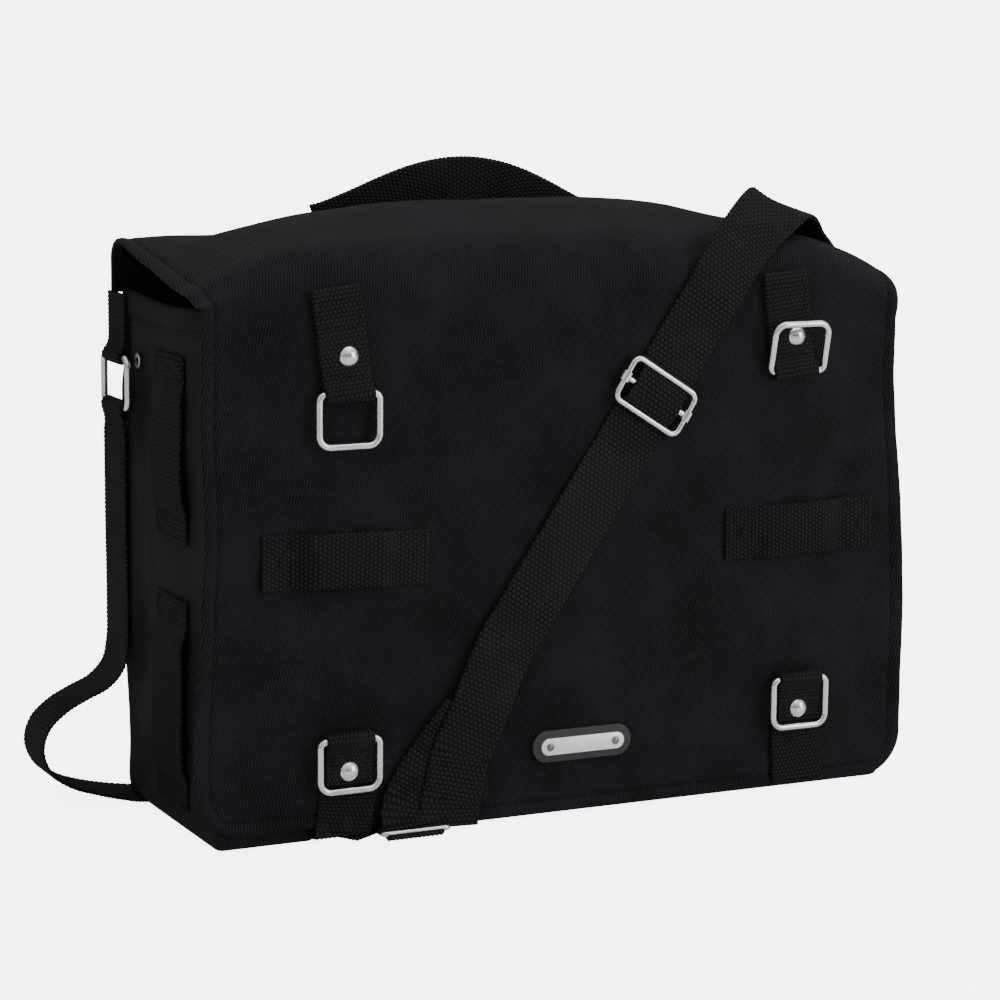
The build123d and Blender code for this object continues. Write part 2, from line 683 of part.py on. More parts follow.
def carry_handle():
    """Arched webbing grip that stands on its two rounded feet."""
    half = handle_span / 2
    peak = top + handle_rise + webbing + 2
    outer = ThreePointArc((-half, handle_foot), (0, peak), (half, handle_foot))
    inner_half = half - 1.3 * handle_width
    inner = ThreePointArc((-inner_half, handle_foot), (0, peak - handle_width), (inner_half, handle_foot))
    outline = [outer, inner, Line(outer @ 0, inner @ 0), Line(outer @ 1, inner @ 1)]
    band = extrude(make_face(outline), amount=handle_thick)
    handle = Pos(handle_x, handle_y + handle_thick / 2, 0) * (Plane.XZ * band)
    for s in (-1, 1):
        x0, x1 = handle_x + s * inner_half, handle_x + s * half
        handle += rod((x0, handle_y, handle_foot), (x1, handle_y, handle_foot), handle_thick / 2)
    return handle


# ---- the whole bag ---------------------------------------------------------------------------
def build():
    nodes = dict(walls())
    nodes["base_panel"] = base_panel()
    nodes["base_board"] = base_board()
    nodes["mouth_binding"] = mouth_binding()
    nodes["flap_seam"] = flap_seam()
    nodes["flap_top"] = flap_top()
    nodes["flap_front"] = flap_front()
    for name, side in (("left", -1), ("right", 1)):
        nodes[f"side_loop_upper_{name}"] = side_loop(side, upper_loop_low, upper_loop_high)
        nodes[f"side_loop_lower_{name}"] = side_loop(side, lower_loop_low, lower_loop_high)
        nodes[f"side_stud_{name}"] = side_stud(side)
        nodes[f"ring_tab_{name}"] = ring_tab(side)
        nodes[f"eyelet_{name}"] = eyelet(side)
    nodes["side_ring_left"] = side_ring(-1, 0)
    nodes["side_ring_right"] = side_ring(1, right_ring_lift)
    nodes["strap_end_left"] = strap_end_left()
    nodes["strap_end_right"] = strap_end_right()
    nodes["strap_left_run"] = strap_left_run()
    nodes["strap_under_run"] = under_run()
    uppers = (("left", left_x, 0), ("right", right_tab_x, 168))
    for name, x, turn in uppers:
        nodes[f"upper_tab_{name}"] = upper_tab(x)
        nodes[f"upper_rivet_{name}"] = upper_rivet(x)
        nodes[f"upper_ring_{name}"] = upper_ring(x, turn)
    lowers = (("left", left_x, left_closure_z), ("right", right_x, right_closure_z))
    for name, x, z in lowers:
        nodes[f"belt_loop_{name}"] = belt_loop(x)
        nodes[f"closure_anchor_{name}"] = closure_anchor(x)
        nodes[f"closure_strap_{name}"] = closure_strap(x, z)
        nodes[f"snap_socket_{name}"] = snap_socket(x, z)
        nodes[f"snap_cap_{name}"] = snap_cap(x, z)
        nodes[f"snap_stud_{name}"] = snap_stud(x, z)
        nodes[f"closure_ring_{name}"] = closure_ring(x, z)
    nodes.update(badge())
    nodes["strap_front"] = strap_front()
    nodes["strap_end_patch"] = strap_end_patch() - nodes["strap_front"]
    nodes["strap_link"] = strap_link()
    nodes["strap_link_fold"] = strap_link_fold()
    nodes["strap_over"] = strap_over()
    nodes["slider_frame"] = slider_frame()
    nodes["slider_bar"] = slider_bar()
    nodes["slider_fold"] = slider_fold()
    for name, s in (("left", -1), ("right", 1)):
        x = handle_x + s * (handle_span / 2 - handle_width / 2)
        nodes[f"handle_anchor_{name}"] = handle_anchor(x)
    nodes["carry_handle"] = carry_handle()
    return nodes


os.makedirs("parts", exist_ok=True)
for name, shape in build().items():
    export_step(shape, f"parts/{name}.step")
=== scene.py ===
# %% [markdown]
# # A canvas messenger bag
# The CAD model gives every size and every place. This script dresses it: the cloth pieces are made
# again as soft shells and woven bands, and the metal parts keep their CAD shape and get a finish.
# Everything is in metres, in the CAD's frame, but the numbers below are written in millimetres.

# %% Open the frame
import math
from functools import partial

import bpy
import bmesh
import numpy as np
from mathutils import Matrix, Vector


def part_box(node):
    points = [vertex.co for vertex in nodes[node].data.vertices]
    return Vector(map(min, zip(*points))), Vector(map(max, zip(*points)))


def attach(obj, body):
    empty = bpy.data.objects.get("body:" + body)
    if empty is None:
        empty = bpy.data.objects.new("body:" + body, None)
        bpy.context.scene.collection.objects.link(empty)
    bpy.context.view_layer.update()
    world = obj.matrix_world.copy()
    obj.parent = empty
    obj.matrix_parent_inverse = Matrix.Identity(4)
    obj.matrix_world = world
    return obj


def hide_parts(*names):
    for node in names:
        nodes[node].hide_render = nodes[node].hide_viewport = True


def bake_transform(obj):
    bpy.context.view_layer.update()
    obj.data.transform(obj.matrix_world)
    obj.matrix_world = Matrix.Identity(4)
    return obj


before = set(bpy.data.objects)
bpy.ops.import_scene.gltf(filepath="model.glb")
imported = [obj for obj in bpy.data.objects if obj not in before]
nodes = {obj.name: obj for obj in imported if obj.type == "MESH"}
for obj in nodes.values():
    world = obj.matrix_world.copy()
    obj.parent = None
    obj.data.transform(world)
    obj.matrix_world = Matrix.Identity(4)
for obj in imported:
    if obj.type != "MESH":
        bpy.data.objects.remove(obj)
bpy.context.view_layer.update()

# %% [markdown]
# ## Sizes that come from the CAD model
# A node's box says where it starts and ends, so the soft pieces land on the hard ones.

# %% Read the sizes
MM = 0.001


def corners(node):
    """Lowest and highest corner of a CAD node, in millimetres."""
    low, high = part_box(node)
    return np.array(low) / MM, np.array(high) / MM


flap_low, flap_high = corners("flap_front")
top_high = corners("flap_top")[1]
half_flap = flap_high[0]
front = flap_low[1]
back = top_high[1]
hem = flap_low[2]
top = top_high[2]
mouth = corners("front_panel")[1][2]
half_w, half_d = corners("base_panel")[1][:2]
shoulder_r = 26.0
back_r = 12.0
shoulder_y = front + shoulder_r
shoulder_z = top - shoulder_r
cloth = 2.0
web = 1.8
print("flap half width", half_flap, "front", front, "top", top, "mouth", mouth)

# %% [markdown]
# ## Working by hand in edit mode
# Every operator works on what is selected, so each piece starts with nothing selected. A woven or
# sewn piece starts as a flat grid. Its points are then laid on the shape that the cloth takes, the
# long edges are merged, and the grid becomes a closed skin with a texture map in millimetres.

# %% Helpers for selection and naming
def clear():
    """Nothing selected, object mode."""
    if bpy.context.object and bpy.context.object.mode != "OBJECT":
        bpy.ops.object.mode_set(mode="OBJECT")
    bpy.ops.object.select_all(action="DESELECT")


def take(piece):
    """Select one piece and make it active."""
    clear()
    piece.select_set(True)
    bpy.context.view_layer.objects.active = piece


def smooth(piece, angle=40):
    take(piece)
    bpy.ops.object.shade_smooth_by_angle(angle=math.radians(angle))


# %% A skin from a grid
def skin(name, around, along, shape, angle=60):
    """Closed piece from a grid; shape(u, v) gives points in millimetres and a map in millimetres."""
    clear()
    bpy.ops.mesh.primitive_grid_add(x_subdivisions=around, y_subdivisions=along, size=2)
    piece = bpy.context.object
    piece.name = name
    mesh = piece.data
    mesh.name = name
    flat = np.zeros(len(mesh.vertices) * 3)
    mesh.vertices.foreach_get("co", flat)
    flat = flat.reshape(-1, 3)
    u, v = (flat[:, 0] + 1) / 2, (flat[:, 1] + 1) / 2
    points, chart = shape(u, v)
    mesh.vertices.foreach_set("co", (points * MM).ravel())
    corner = np.zeros(len(mesh.loops), int)
    mesh.loops.foreach_get("vertex_index", corner)
    mesh.uv_layers[0].data.foreach_set("uv", chart[corner].ravel())
    mesh.update()
    bpy.ops.object.mode_set(mode="EDIT")
    bpy.ops.mesh.select_all(action="SELECT")
    bpy.ops.mesh.remove_doubles(threshold=0.00002)
    bpy.ops.mesh.dissolve_degenerate(threshold=0.000005)
    bpy.ops.mesh.select_all(action="SELECT")
    bpy.ops.mesh.normals_make_consistent(inside=False)
    bpy.ops.object.mode_set(mode="OBJECT")
    smooth(piece, angle)
    return piece


def soft_noise(a, b, size, seed):
    """Smooth field between about -1 and 1 from a few waves in fixed directions."""
    rng = np.random.RandomState(seed)
    total = np.zeros_like(a, dtype=float)
    for _ in range(7):
        turn, phase, stretch = rng.uniform(0, 2 * np.pi), rng.uniform(0, 2 * np.pi), rng.uniform(0.6, 1.5)
        total += np.sin((a * np.cos(turn) + b * np.sin(turn)) * 2 * np.pi / (size * stretch) + phase)
    return total / 3.0


def bump(a, b, at_a, at_b, wide_a, wide_b):
    return np.exp(-((a - at_a) / wide_a) ** 2 - ((b - at_b) / wide_b) ** 2)


def ease(x, low, high):
    """0 below low, 1 above high, smooth between."""
    t = np.clip((x - low) / (high - low), 0, 1)
    return t * t * (3 - 2 * t)


def distances(line):
    """Way from the first point of a line to each of its points."""
    return np.concatenate([[0], np.cumsum(np.linalg.norm(np.diff(line, axis=0), axis=1))])


def unit(v):
    return v / np.maximum(np.linalg.norm(v, axis=-1, keepdims=True), 1e-9)


# %% [markdown]
# ## Woven bands
# Cotton webbing is woven so coarsely that its ribs are real relief: rows of small humps, each row
# set half a hump aside from the last, and an edge that is slightly scalloped. A band is a flat tube
# that follows a smooth line, so the weave is modelled in the mesh and not only painted.

# %% A smooth line through a few places
def spline(values, places, at):
    """Smooth curve through values at places, read at other places."""
    values = np.asarray(values, float)
    slope = np.gradient(values, places, axis=0)
    k = np.clip(np.searchsorted(places, at) - 1, 0, len(places) - 2)
    h = (places[k + 1] - places[k])[:, None]
    t = ((at - places[k]) / h[:, 0])[:, None]
    a, b = values[k], values[k + 1]
    m, n = slope[k] * h, slope[k + 1] * h
    out = (2 * t**3 - 3 * t**2 + 1) * a + (t**3 - 2 * t**2 + t) * m
    return out + ((-2 * t**3 + 3 * t**2) * b + (t**3 - t**2) * n)


def web_band(name, line, width, across=None, thick=web, hump=(2.7, 2.3), relief=0.5):
    """Webbing along a line of points; across is one direction or one for each point.

    Its map counts the weave's humps across and along, so the finish can shade each hump."""
    line = np.asarray(line, float)
    across = np.asarray([1.0, 0, 0] if across is None else across, float)
    if across.ndim == 1:
        across = np.tile(across, (len(line), 1))
    width = np.asarray(width, float)
    if width.ndim == 0:
        width = np.full(len(line), float(width))
    reach = distances(line)
    cells = max(2, round(width.max() / hump[0]))
    rows = max(2, round(reach[-1] / hump[1]))
    per = 4
    along, around = rows * per, cells * per
    stops = np.linspace(0, reach[-1], along * 2 + 1)
    fine = spline(line, reach, stops)
    side = spline(across, reach, stops)
    half = spline(width[:, None], reach, stops)[:, 0] / 2
    forward = unit(np.gradient(fine, axis=0))
    side = unit(side - forward * np.sum(side * forward, 1, keepdims=True))
    face = np.cross(side, forward)
    length = reach[-1]
    crown = thick / 2

    def shape(u, v):
        ring = np.round(u * 2 * around)
        over = ring <= around
        x = np.where(over, ring, 2 * around - ring) / around * 2 - 1
        s = v * length
        i = np.clip(v * (len(stops) - 1), 0, len(stops) - 1)
        low = np.floor(i).astype(int)
        high = np.minimum(low + 1, len(stops) - 1)
        f = (i - low)[:, None]
        centre = fine[low] * (1 - f) + fine[high] * f
        w = side[low] * (1 - f) + side[high] * f
        n = face[low] * (1 - f) + face[high] * f
        h = half[low] * (1 - f[:, 0]) + half[high] * f[:, 0]
        row = s / (length / rows)
        step = (np.floor(row + 1e-6) % 2) * 0.5
        lump = np.abs(np.sin(np.pi * (x * cells / 2 + step))) * np.abs(np.sin(np.pi * row)) ** 0.8
        scallop = 0.3 * np.abs(np.sin(np.pi * row))
        edge = np.clip((1 - np.abs(x)) * h / crown, 0, 1)
        end = np.clip(np.minimum(s, length - s) / crown, 0, 1)
        body = crown * np.sqrt(1 - (1 - edge) ** 2) * np.sqrt(1 - (1 - end) ** 2)
        up = body + relief * (lump - 0.5) * np.minimum(edge, end)
        up = np.where(over, up, -up)
        points = centre + w * (x * (h + scallop))[:, None] + n * up[:, None]
        return points, np.stack([x * cells / 2, row], 1)

    return skin(name, 2 * around, along, shape)


# %% [markdown]
# ## Stitches
# A topstitch is a short thread that dips into the cloth at both ends. One small bead is modelled,
# and it is copied along each seam into one piece, a few dozen faces each.

# %% One stitch and its copies
clear()
bpy.ops.mesh.primitive_uv_sphere_add(segments=6, ring_count=4, radius=0.5)
bead = bpy.context.object
bead_points = np.array([v.co for v in bead.data.vertices])
bead_faces = [list(p.vertices) for p in bead.data.polygons]
bpy.data.objects.remove(bead)


def stitches(name, runs, pitch=3.0, thread=0.55):
    """Beads along runs; a run is (points, normals) in millimetres."""
    points, faces = [], []
    for line, normal in runs:
        line, normal = np.asarray(line, float), np.asarray(normal, float)
        if normal.ndim == 1:
            normal = np.tile(normal, (len(line), 1))
        reach = distances(line)
        count = max(1, int(reach[-1] / pitch))
        for k in range(count):
            ends = np.array([k + 0.14, k + 0.86]) / count * reach[-1]
            a, b = [np.array([np.interp(e, reach, line[:, i]) for i in range(3)]) for e in ends]
            n = np.array([np.interp(ends.mean(), reach, normal[:, i]) for i in range(3)])
            forward = unit(b - a)
            side = unit(np.cross(n, forward))
            n = np.cross(forward, side)
            scale = np.array([np.linalg.norm(b - a), thread, thread * 0.8])
            local = bead_points * scale
            place = (a + b) / 2 + local[:, :1] * forward + local[:, 1:2] * side + local[:, 2:] * n
            faces += [[i + len(points) * len(bead_points) for i in f] for f in bead_faces]
            points.append(place)
    mesh = bpy.data.meshes.new(name)
    mesh.from_pydata([tuple(p) for p in np.concatenate(points) * MM], [], faces)
    piece = bpy.data.objects.new(name, mesh)
    bpy.context.collection.objects.link(piece)
    smooth(piece, 180)
    return piece


print("bead faces", len(bead_faces))

# %% [markdown]
# ## The flap's surface
# The flap starts behind, on the back panel, turns over the back edge, runs along the top, rolls over
# the shoulder and hangs down the front. Contents push its top up in a low crown, and its two ends
# droop where nothing holds them. One function gives any place on it, so tabs, loops, straps and
# stitches that lie on the cloth take their places from the same surface.

# %% Profile of the flap, from the back seam to the hem
seam_low = corners("flap_seam")[0][2]
turn_b = top - back_r
arc_b = back_r * math.pi / 2
arc_f = shoulder_r * math.pi / 2
s_back = turn_b - seam_low
s_top = s_back + arc_b
s_shoulder = s_top + (back - back_r) - shoulder_y
s_front = s_shoulder + arc_f
s_hem = s_front + shoulder_z - hem


def profile(s):
    """Point and outward direction on the flap's outer face at a distance s from the back seam."""
    s = np.asarray(s, float)
    a = np.clip((s - s_back) / back_r, 0, np.pi / 2)
    b = np.clip((s - s_shoulder) / shoulder_r, 0, np.pi / 2)
    on_top = np.clip(s - s_top, 0, s_shoulder - s_top)
    y = back - back_r * (1 - np.cos(a)) - on_top - shoulder_r * np.sin(b)
    z = seam_low + np.minimum(s, s_back) + back_r * np.sin(a) - shoulder_r * (1 - np.cos(b))
    z = z - np.maximum(s - s_front, 0)
    ny = np.cos(a) - np.sin(b)
    nz = np.where(s < s_shoulder, np.sin(a), np.cos(b))
    ny = np.where(s < s_back, 1.0, ny)
    return y, z, ny, nz


def at_height(z):
    """Distance s of a height z on the front or in the shoulder."""
    z = np.asarray(z, float)
    bend = np.arccos(np.clip((z - shoulder_z) / shoulder_r, -1, 1))
    return np.where(z < shoulder_z, s_front + shoulder_z - z, s_shoulder + shoulder_r * bend)


left_x = corners("upper_tab_left")[0][0] + 12.5
tab_x = corners("upper_tab_right")[0][0] + 12.5
right_x = corners("closure_strap_right")[0][0] + 13.5
held = [(left_x, 235, 26, 40), (tab_x, 240, 28, 40), (left_x, 30, 26, 42), (right_x, 38, 26, 42),
        (7, 37, 40, 20), (45, 213, 32, 30), (-84, 8, 30, 26)]


def rise(x, y):
    """How far the top stands above its flat place: crown, and the droop of the left and right ends."""
    crown = np.exp(-np.abs((x - 8) / np.where(x > 8, 112, 150)) ** 4)
    along = ease(y, -72, 6) * (1 - ease(y, 19, 44))
    left = np.clip((-x - 125) / 70, 0, 1) ** 2 * (9 + 11 * ease(-y, -30, 45)) * (1 - 0.85 * ease(y, 18, 58))
    right = np.clip((x - 128) / 67, 0, 1) ** 2 * 22 * (1 - 0.45 * ease(y, 20, 62))
    return 17.5 * crown * along + 4 * bump(x, y, 152, 40, 26, 22), left, right


def crease(x, z, at_x, at_z, lean, long, wide):
    """Long soft ridge; lean is its turn from upright in degrees."""
    c, s = math.cos(math.radians(lean)), math.sin(math.radians(lean))
    along = (x - at_x) * s + (z - at_z) * c
    over = (x - at_x) * c - (z - at_z) * s
    return np.exp(-(along / long) ** 2 - (over / wide) ** 2)


def dents(x, z):
    """Slack hollows of the front between the places that hardware holds."""
    field = 1.0 * bump(x, z, -60, 205, 62, 40) + 2.2 * bump(x, z, -62, 95, 50, 42)
    field += 2.8 * bump(x, z, 70, 120, 62, 46) + 2.0 * bump(x, z, 165, 110, 24, 60)
    field += 2.2 * bump(x, z, -165, 95, 18, 80) + 1.8 * bump(x, z, 172, 205, 14, 30)
    field += 3.4 * crease(x, z, -68, 250, 49, 54, 13) - 3.0 * crease(x, z, -28, 208, 38, 46, 17)
    field += 2.0 * crease(x, z, -150, 150, -10, 60, 9) + 2.4 * crease(x, z, 158, 165, 12, 50, 9)
    field += 2.0 * crease(x, z, -92, 172, 40, 38, 9) + 2.2 * crease(x, z, 96, 62, -48, 44, 10)
    field += 1.6 * crease(x, z, -150, 40, 24, 30, 8) + 2.2 * crease(x, z, 98, 200, -34, 40, 10)
    field += 0.5 + 0.6 * soft_noise(x, z, 85, 3) + 0.3 * soft_noise(x, z, 33, 8)
    mask = np.ones_like(field)
    for hx, hz, wx, wz in held:
        mask = mask * (1 - np.clip(1.25 * bump(x, z, hx, hz, wx, wz), 0, 1))
    return -np.clip(field, -2.8, 4.8) * mask


def on_flap(x, s, off):
    """Point on the flap at x and s, standing off its outer face."""
    x, s = np.broadcast_arrays(np.asarray(x, float), np.asarray(s, float))
    y, z, ny, nz = profile(s)
    down = ease(s, s_shoulder + 12, s_front + 4)
    behind = ease(s, s_back - 4, s_top + 4)
    crown, left, right = rise(x, y)
    lift = (crown - left) * behind * (1 - down)
    lift = lift - right * behind * (1 - ease(s, s_shoulder + 12, s_front + 60))
    lift = lift - 6.0 * ease(x, -150, -60) * ease(s, s_front + 60, s_hem - 20)
    hollow = dents(x, z) * ease(s, s_shoulder + 10, s_front + 10) * ease(z, 2, 26)
    hollow = hollow + 0.35 * soft_noise(x, s, 60, 12) * (1 - ease(s, s_shoulder, s_front))
    edge = (x / half_flap) ** 4
    in_right = 5.5 * ease(z, 140, 225) * down - 4.5 * (1 - ease(z, 90, 190))
    out_left = 1.8 * (1 - ease(z, 205, 250)) - 2.4 * np.exp(-((z - 160) / 34) ** 2)
    out_left = out_left + 3.4 * (1 - ease(z, 50, 120))
    pull = edge * np.where(x > 0, in_right, out_left * down)
    out = off + hollow
    return np.stack([x - pull, y + ny * out, z + nz * out + lift], -1)


print("flap length", round(float(s_hem)), "mm")

# %% [markdown]
# ## The flap as two sewn pieces
# The bag opens by bending this cloth at the back seam and again at the shoulder, and each piece of
# cloth can bend over one joint. So the flap is cut where it lies flat, just in front of the handle,
# and the two edges meet there without a gap. A hem runs round it, held by one line of stitches.

# %% Edges and corners of the flap
corner_r = 23.0
hem_in = 7.0
edge_zone = 12.0


def half_at(s):
    """Half width of the flap at s; the lower corners are round."""
    into = np.clip(np.asarray(s, float) - (s_hem - corner_r), 0, corner_r)
    return half_flap - (corner_r - np.sqrt(corner_r**2 - into**2))


def hem_relief(d, s):
    """Groove where the hem is stitched, and the fuller roll outside it, at a distance d from the edge."""
    pucker = 1 + 0.5 * np.sin(s / 2.1) * np.sin(s / 5.3 + 1)
    return -0.6 * np.exp(-((d - hem_in) / 1.3) ** 2) * pucker + 0.45 * np.exp(-((d - 3) / 2.2) ** 2)


edge_cols = np.concatenate([np.array([0, 0.12, 0.4, 0.85]), np.linspace(1.4, edge_zone, 17)])
mid_cols = np.linspace(edge_zone, 2 * half_flap - edge_zone, 112)[1:-1]
col_in = np.concatenate([edge_cols, mid_cols, 2 * half_flap - edge_cols[::-1]])


def flap_sheet(name, stops, thick):
    """Flap cloth through the rows at stops; thick is each row's share of the full thickness."""
    stops, thick = np.array(stops), np.array(thick)
    n = len(col_in) - 1

    def shape(u, v):
        ring = np.round(u * 2 * n).astype(int)
        over = ring <= n
        col = np.where(over, ring, 2 * n - ring)
        row = np.round(v * (len(stops) - 1)).astype(int)
        s = stops[row]
        share = col_in[col] / half_flap - 1
        half = half_at(s)
        x = share * half
        d_side = np.minimum(col_in[col], 2 * half_flap - col_in[col]) * half / half_flap
        d = np.minimum(d_side, np.where(s > s_hem - 40, s_hem - s, 99))
        d = np.where(s < 30, np.minimum(d, s), d)
        round_off = np.sqrt(1 - (1 - np.clip(d_side / (cloth / 2), 0, 1)) ** 2) * thick[row]
        up = -cloth / 2 + np.where(over, 1, -1) * cloth / 2 * round_off
        up = up + hem_relief(d, s + x) * np.where(over, 1, -0.4) * round_off
        return on_flap(x, s, up), np.stack([x, s], 1)

    return skin(name, 2 * n, len(stops) - 1, shape)


s_cut = float(s_top + 18)
start_rows = [0.0, 0.1, 0.4, 1.0] + list(np.linspace(2.2, s_cut, 22))
start_thick = [0.0, 0.5, 0.85, 1.0] + [1.0] * 22
flap_rear = flap_sheet("flap_rear_cloth", start_rows + [s_cut], start_thick + [0.0])
body_rows = list(np.linspace(s_cut, s_hem - edge_zone, 128))
end_rows = list(s_hem - edge_cols[::-1])[1:]
end_thick = [1.0] * (len(end_rows) - 4) + [1.0, 0.85, 0.5, 0.0]
flap_main = flap_sheet("flap_front_cloth", [s_cut] + body_rows + end_rows, [0.0] + [1.0] * 128 + end_thick)
print("flap faces", len(flap_rear.data.polygons), len(flap_main.data.polygons))

# %% Stitches of the hem and of the back seam
def out_at(points):
    """Outward direction of the flap near points on it."""
    y, z = points[:, 1], points[:, 2]
    ny = np.clip(np.where(z > shoulder_z, (y - shoulder_y) / shoulder_r, -1.0), -1, 0)
    nz = np.clip((z - shoulder_z) / shoulder_r, 0, 1)
    return unit(np.stack([np.zeros_like(y), ny + 1e-6, nz], 1))


thread_off = -0.12


def flap_run(xs, ss):
    points = on_flap(xs, ss, thread_off)
    return points, out_at(points)


down = np.linspace(s_cut + 2, s_hem - corner_r, 120)
turn = np.linspace(0, np.pi / 2, 14)
inner_r = corner_r - hem_in
right_bend = (half_flap - corner_r + inner_r * np.cos(turn), s_hem - corner_r + inner_r * np.sin(turn))
across = np.linspace(half_flap - corner_r, -half_flap + corner_r, 130)
upright = np.full(len(down), half_flap - hem_in)
xs = np.concatenate([upright, right_bend[0], across, -right_bend[0][::-1], -upright])
ss = [down, right_bend[1], np.full(len(across), s_hem - hem_in), right_bend[1][::-1], down[::-1]]
ss = np.concatenate(ss)
hem_thread = stitches("flap_hem_stitches", [flap_run(xs, ss)])
rear_runs = []
rear_s = np.linspace(3, s_cut - 1, 24)
for side in (-1, 1):
    line = on_flap(np.full(24, side * (half_flap - hem_in)), rear_s, thread_off)
    y, z, ny, nz = profile(rear_s)
    rear_runs.append((line, np.stack([0 * ny, ny, nz], 1)))
for s in (3.5, 9.5):
    seam_line = on_flap(np.linspace(-half_flap + 8, half_flap - 8, 90), np.full(90, s), thread_off)
    rear_runs.append((seam_line, np.array([0, 1.0, 0])))
rear_thread = stitches("flap_rear_stitches", rear_runs)

# %% [markdown]
# ## The body
# Four walls and the base are one sewn shell. It is lofted from the base plan upwards: the plan is a
# rectangle with small corners, and each height may move in or out. Piping stands along the upright
# seams, the walls swell between the seams, and the front is pulled back a little behind the flap.

# %% Plan of the body
straight_long, straight_short, arc_cols = 74, 28, 12
plan_r = 6.0
plan = []


def add_side(count, start, end, normal):
    for k in range(count):
        t = k / count
        plan.append([start[0] + (end[0] - start[0]) * t, start[1] + (end[1] - start[1]) * t, *normal])


def add_corner(place, from_turn):
    for k in range(arc_cols):
        a = from_turn + np.pi / 2 * k / arc_cols
        plan.append([*place, math.cos(a), math.sin(a)])


add_side(straight_long, (-1, -1), (1, -1), (0, -1))
add_corner((1, -1), -np.pi / 2)
add_side(straight_short, (1, -1), (1, 1), (1, 0))
add_corner((1, 1), 0)
add_side(straight_long, (1, 1), (-1, 1), (0, 1))
add_corner((-1, 1), np.pi / 2)
add_side(straight_short, (-1, 1), (-1, -1), (-1, 0))
add_corner((-1, -1), np.pi)
plan = np.array(plan + plan[:1], float)
rim = plan[:, :2] * (np.array([half_w, half_d]) - plan_r) + plan_r * plan[:, 2:]
plan_s = distances(rim)
print("plan points", len(plan), "way round", round(plan_s[-1]), "mm")


# places in y and z where sewn webbing holds the side walls flat, and how wide each holds
sewn_spots = [(-9, 230, 30, 20), (-9, 152, 30, 14), (-9, 20, 30, 18), (-9, 112, 30, 16), (60, 240, 16, 36)]


def sway(col, z):
    """How far the body's wall stands out at a column of the plan and a height."""
    nx, ny = plan[col, 2], plan[col, 3]
    x, y = rim[col, 0], rim[col, 1]
    facing = np.clip(-ny, 0, 1)
    out = -4.6 * facing * ease(z, 30, 75)
    behind = np.clip(ny, 0, 1)
    swell = 1.2 * bump(x, z, 0, 120, 120, 90) - 0.8 + 0.9 * soft_noise(x, z, 90, 21)
    out = out + behind * swell * ease(z, 4, 30) * (1 - ease(z, 225, 250))
    side = np.abs(nx) ** 2
    sag = 1.9 * soft_noise(y * 1.3, z + 40 * nx, 78, 5) - 2.6 * bump(y, z, 34, 210, 20, 30)
    sag = sag - 1.6 * bump(y, z, -48, 120, 14, 70) + 1.6 * bump(y, z, 24, 55, 22, 40)
    sag = sag + 1.5 * crease(y, z, 30, 150, 14, 60, 7) - 1.4 * crease(y, z, -38, 190, -8, 60, 8)
    grip = np.clip(sum(bump(y, z, *spot) for spot in sewn_spots), 0, 1)
    full = 2.3 * (nx < 0) * ease(y, 34, 52) * ease(z, 40, 100) * (1 - ease(z, 212, 236))
    out = out + side * ((sag - 0.6) * (1 - ease(y, 34, 50)) * (1 - grip) * ease(z, 4, 24) + full)
    seam = np.minimum(np.abs(nx), np.abs(ny))
    piping = 1.5 * np.exp(-((seam - 0.707) / 0.16) ** 2) * ease(z, 3, 10) * (1 - ease(z, 246, 252))
    return out + piping


# %% Loft the shell
outer = [(65, 0.35), (52, 0.3), (44, 0.2), (36, 0.1), (28, 0.05), (20, 0), (14, 0), (9, 0)]
outer += [(5.5, 0.05), (3.4, 0.5), (1.6, 1.6), (0.5, 3.2)]
outer += [(0, z) for z in np.linspace(5, 262, 88)]
inner = [(0.3, 262.5), (1.0, 262.8), (1.7, 262.5)] + [(2.0, z) for z in np.linspace(262, 7, 40)]
inner += [(3, 6.1), (8, 6), (20, 6), (40, 6), (65, 6)]
loft = np.array(outer + inner)
loft_s = distances(loft)
under_line = np.array([(-96.0, -77.0), (-172.0, 52.0), (-232.0, 64.0)])


def plan_place(col, inset, out):
    """Places in plan that stand in from the walls by inset, and out again by out."""
    r = np.maximum(plan_r - inset, 0.4)[:, None]
    size = np.array([half_w, half_d]) - inset[:, None]
    return plan[col, :2] * np.maximum(size - r, 0) + r * plan[col, 2:] + plan[col, 2:] * out[:, None]


def mouth_drop(col, z):
    """The mouth hangs a little lower in the middle of each side wall."""
    return 3.0 * np.abs(plan[col, 2]) ** 4 * bump(rim[col, 1], z, 0, mouth, 42, 40)


def away(points, line):
    """Distance of plan points from a broken line."""
    best = np.full(len(points), 1e9)
    for a, b in zip(line[:-1], line[1:]):
        t = np.clip(((points - a) @ (b - a)) / np.sum((b - a) ** 2), 0, 1)
        best = np.minimum(best, np.linalg.norm(points - (a + t[:, None] * (b - a)), axis=1))
    return best


def body_shape(u, v):
    col = np.round(u * (len(plan) - 1)).astype(int)
    row = np.round(v * (len(loft) - 1)).astype(int)
    inset, z = loft[row, 0], loft[row, 1]
    flat = plan_place(col, inset, sway(col, z) * ease(10 - inset, 0, 8))
    low = row < 14
    hollow = (1 - ease(away(flat, under_line), 16.5, 20)) * 2.4
    for cx in (left_x, right_x):
        tail = (1 - ease(np.abs(flat[:, 0] - cx), 14.5, 17)) * (1 - ease(flat[:, 1], -57, -53)) * 4.3
        hollow = np.maximum(hollow, tail)
    z = np.where(low, np.maximum(z, hollow), z)
    return np.column_stack([flat, z - mouth_drop(col, z)]), np.stack([plan_s[col], loft_s[row]], 1)


bag_shell = skin("body_cloth", len(plan) - 1, len(loft) - 1, body_shape)
print("body faces", len(bag_shell.data.polygons))

# %% [markdown]
# The raw edge of the mouth is bound with tape that is folded over it and stitched through.

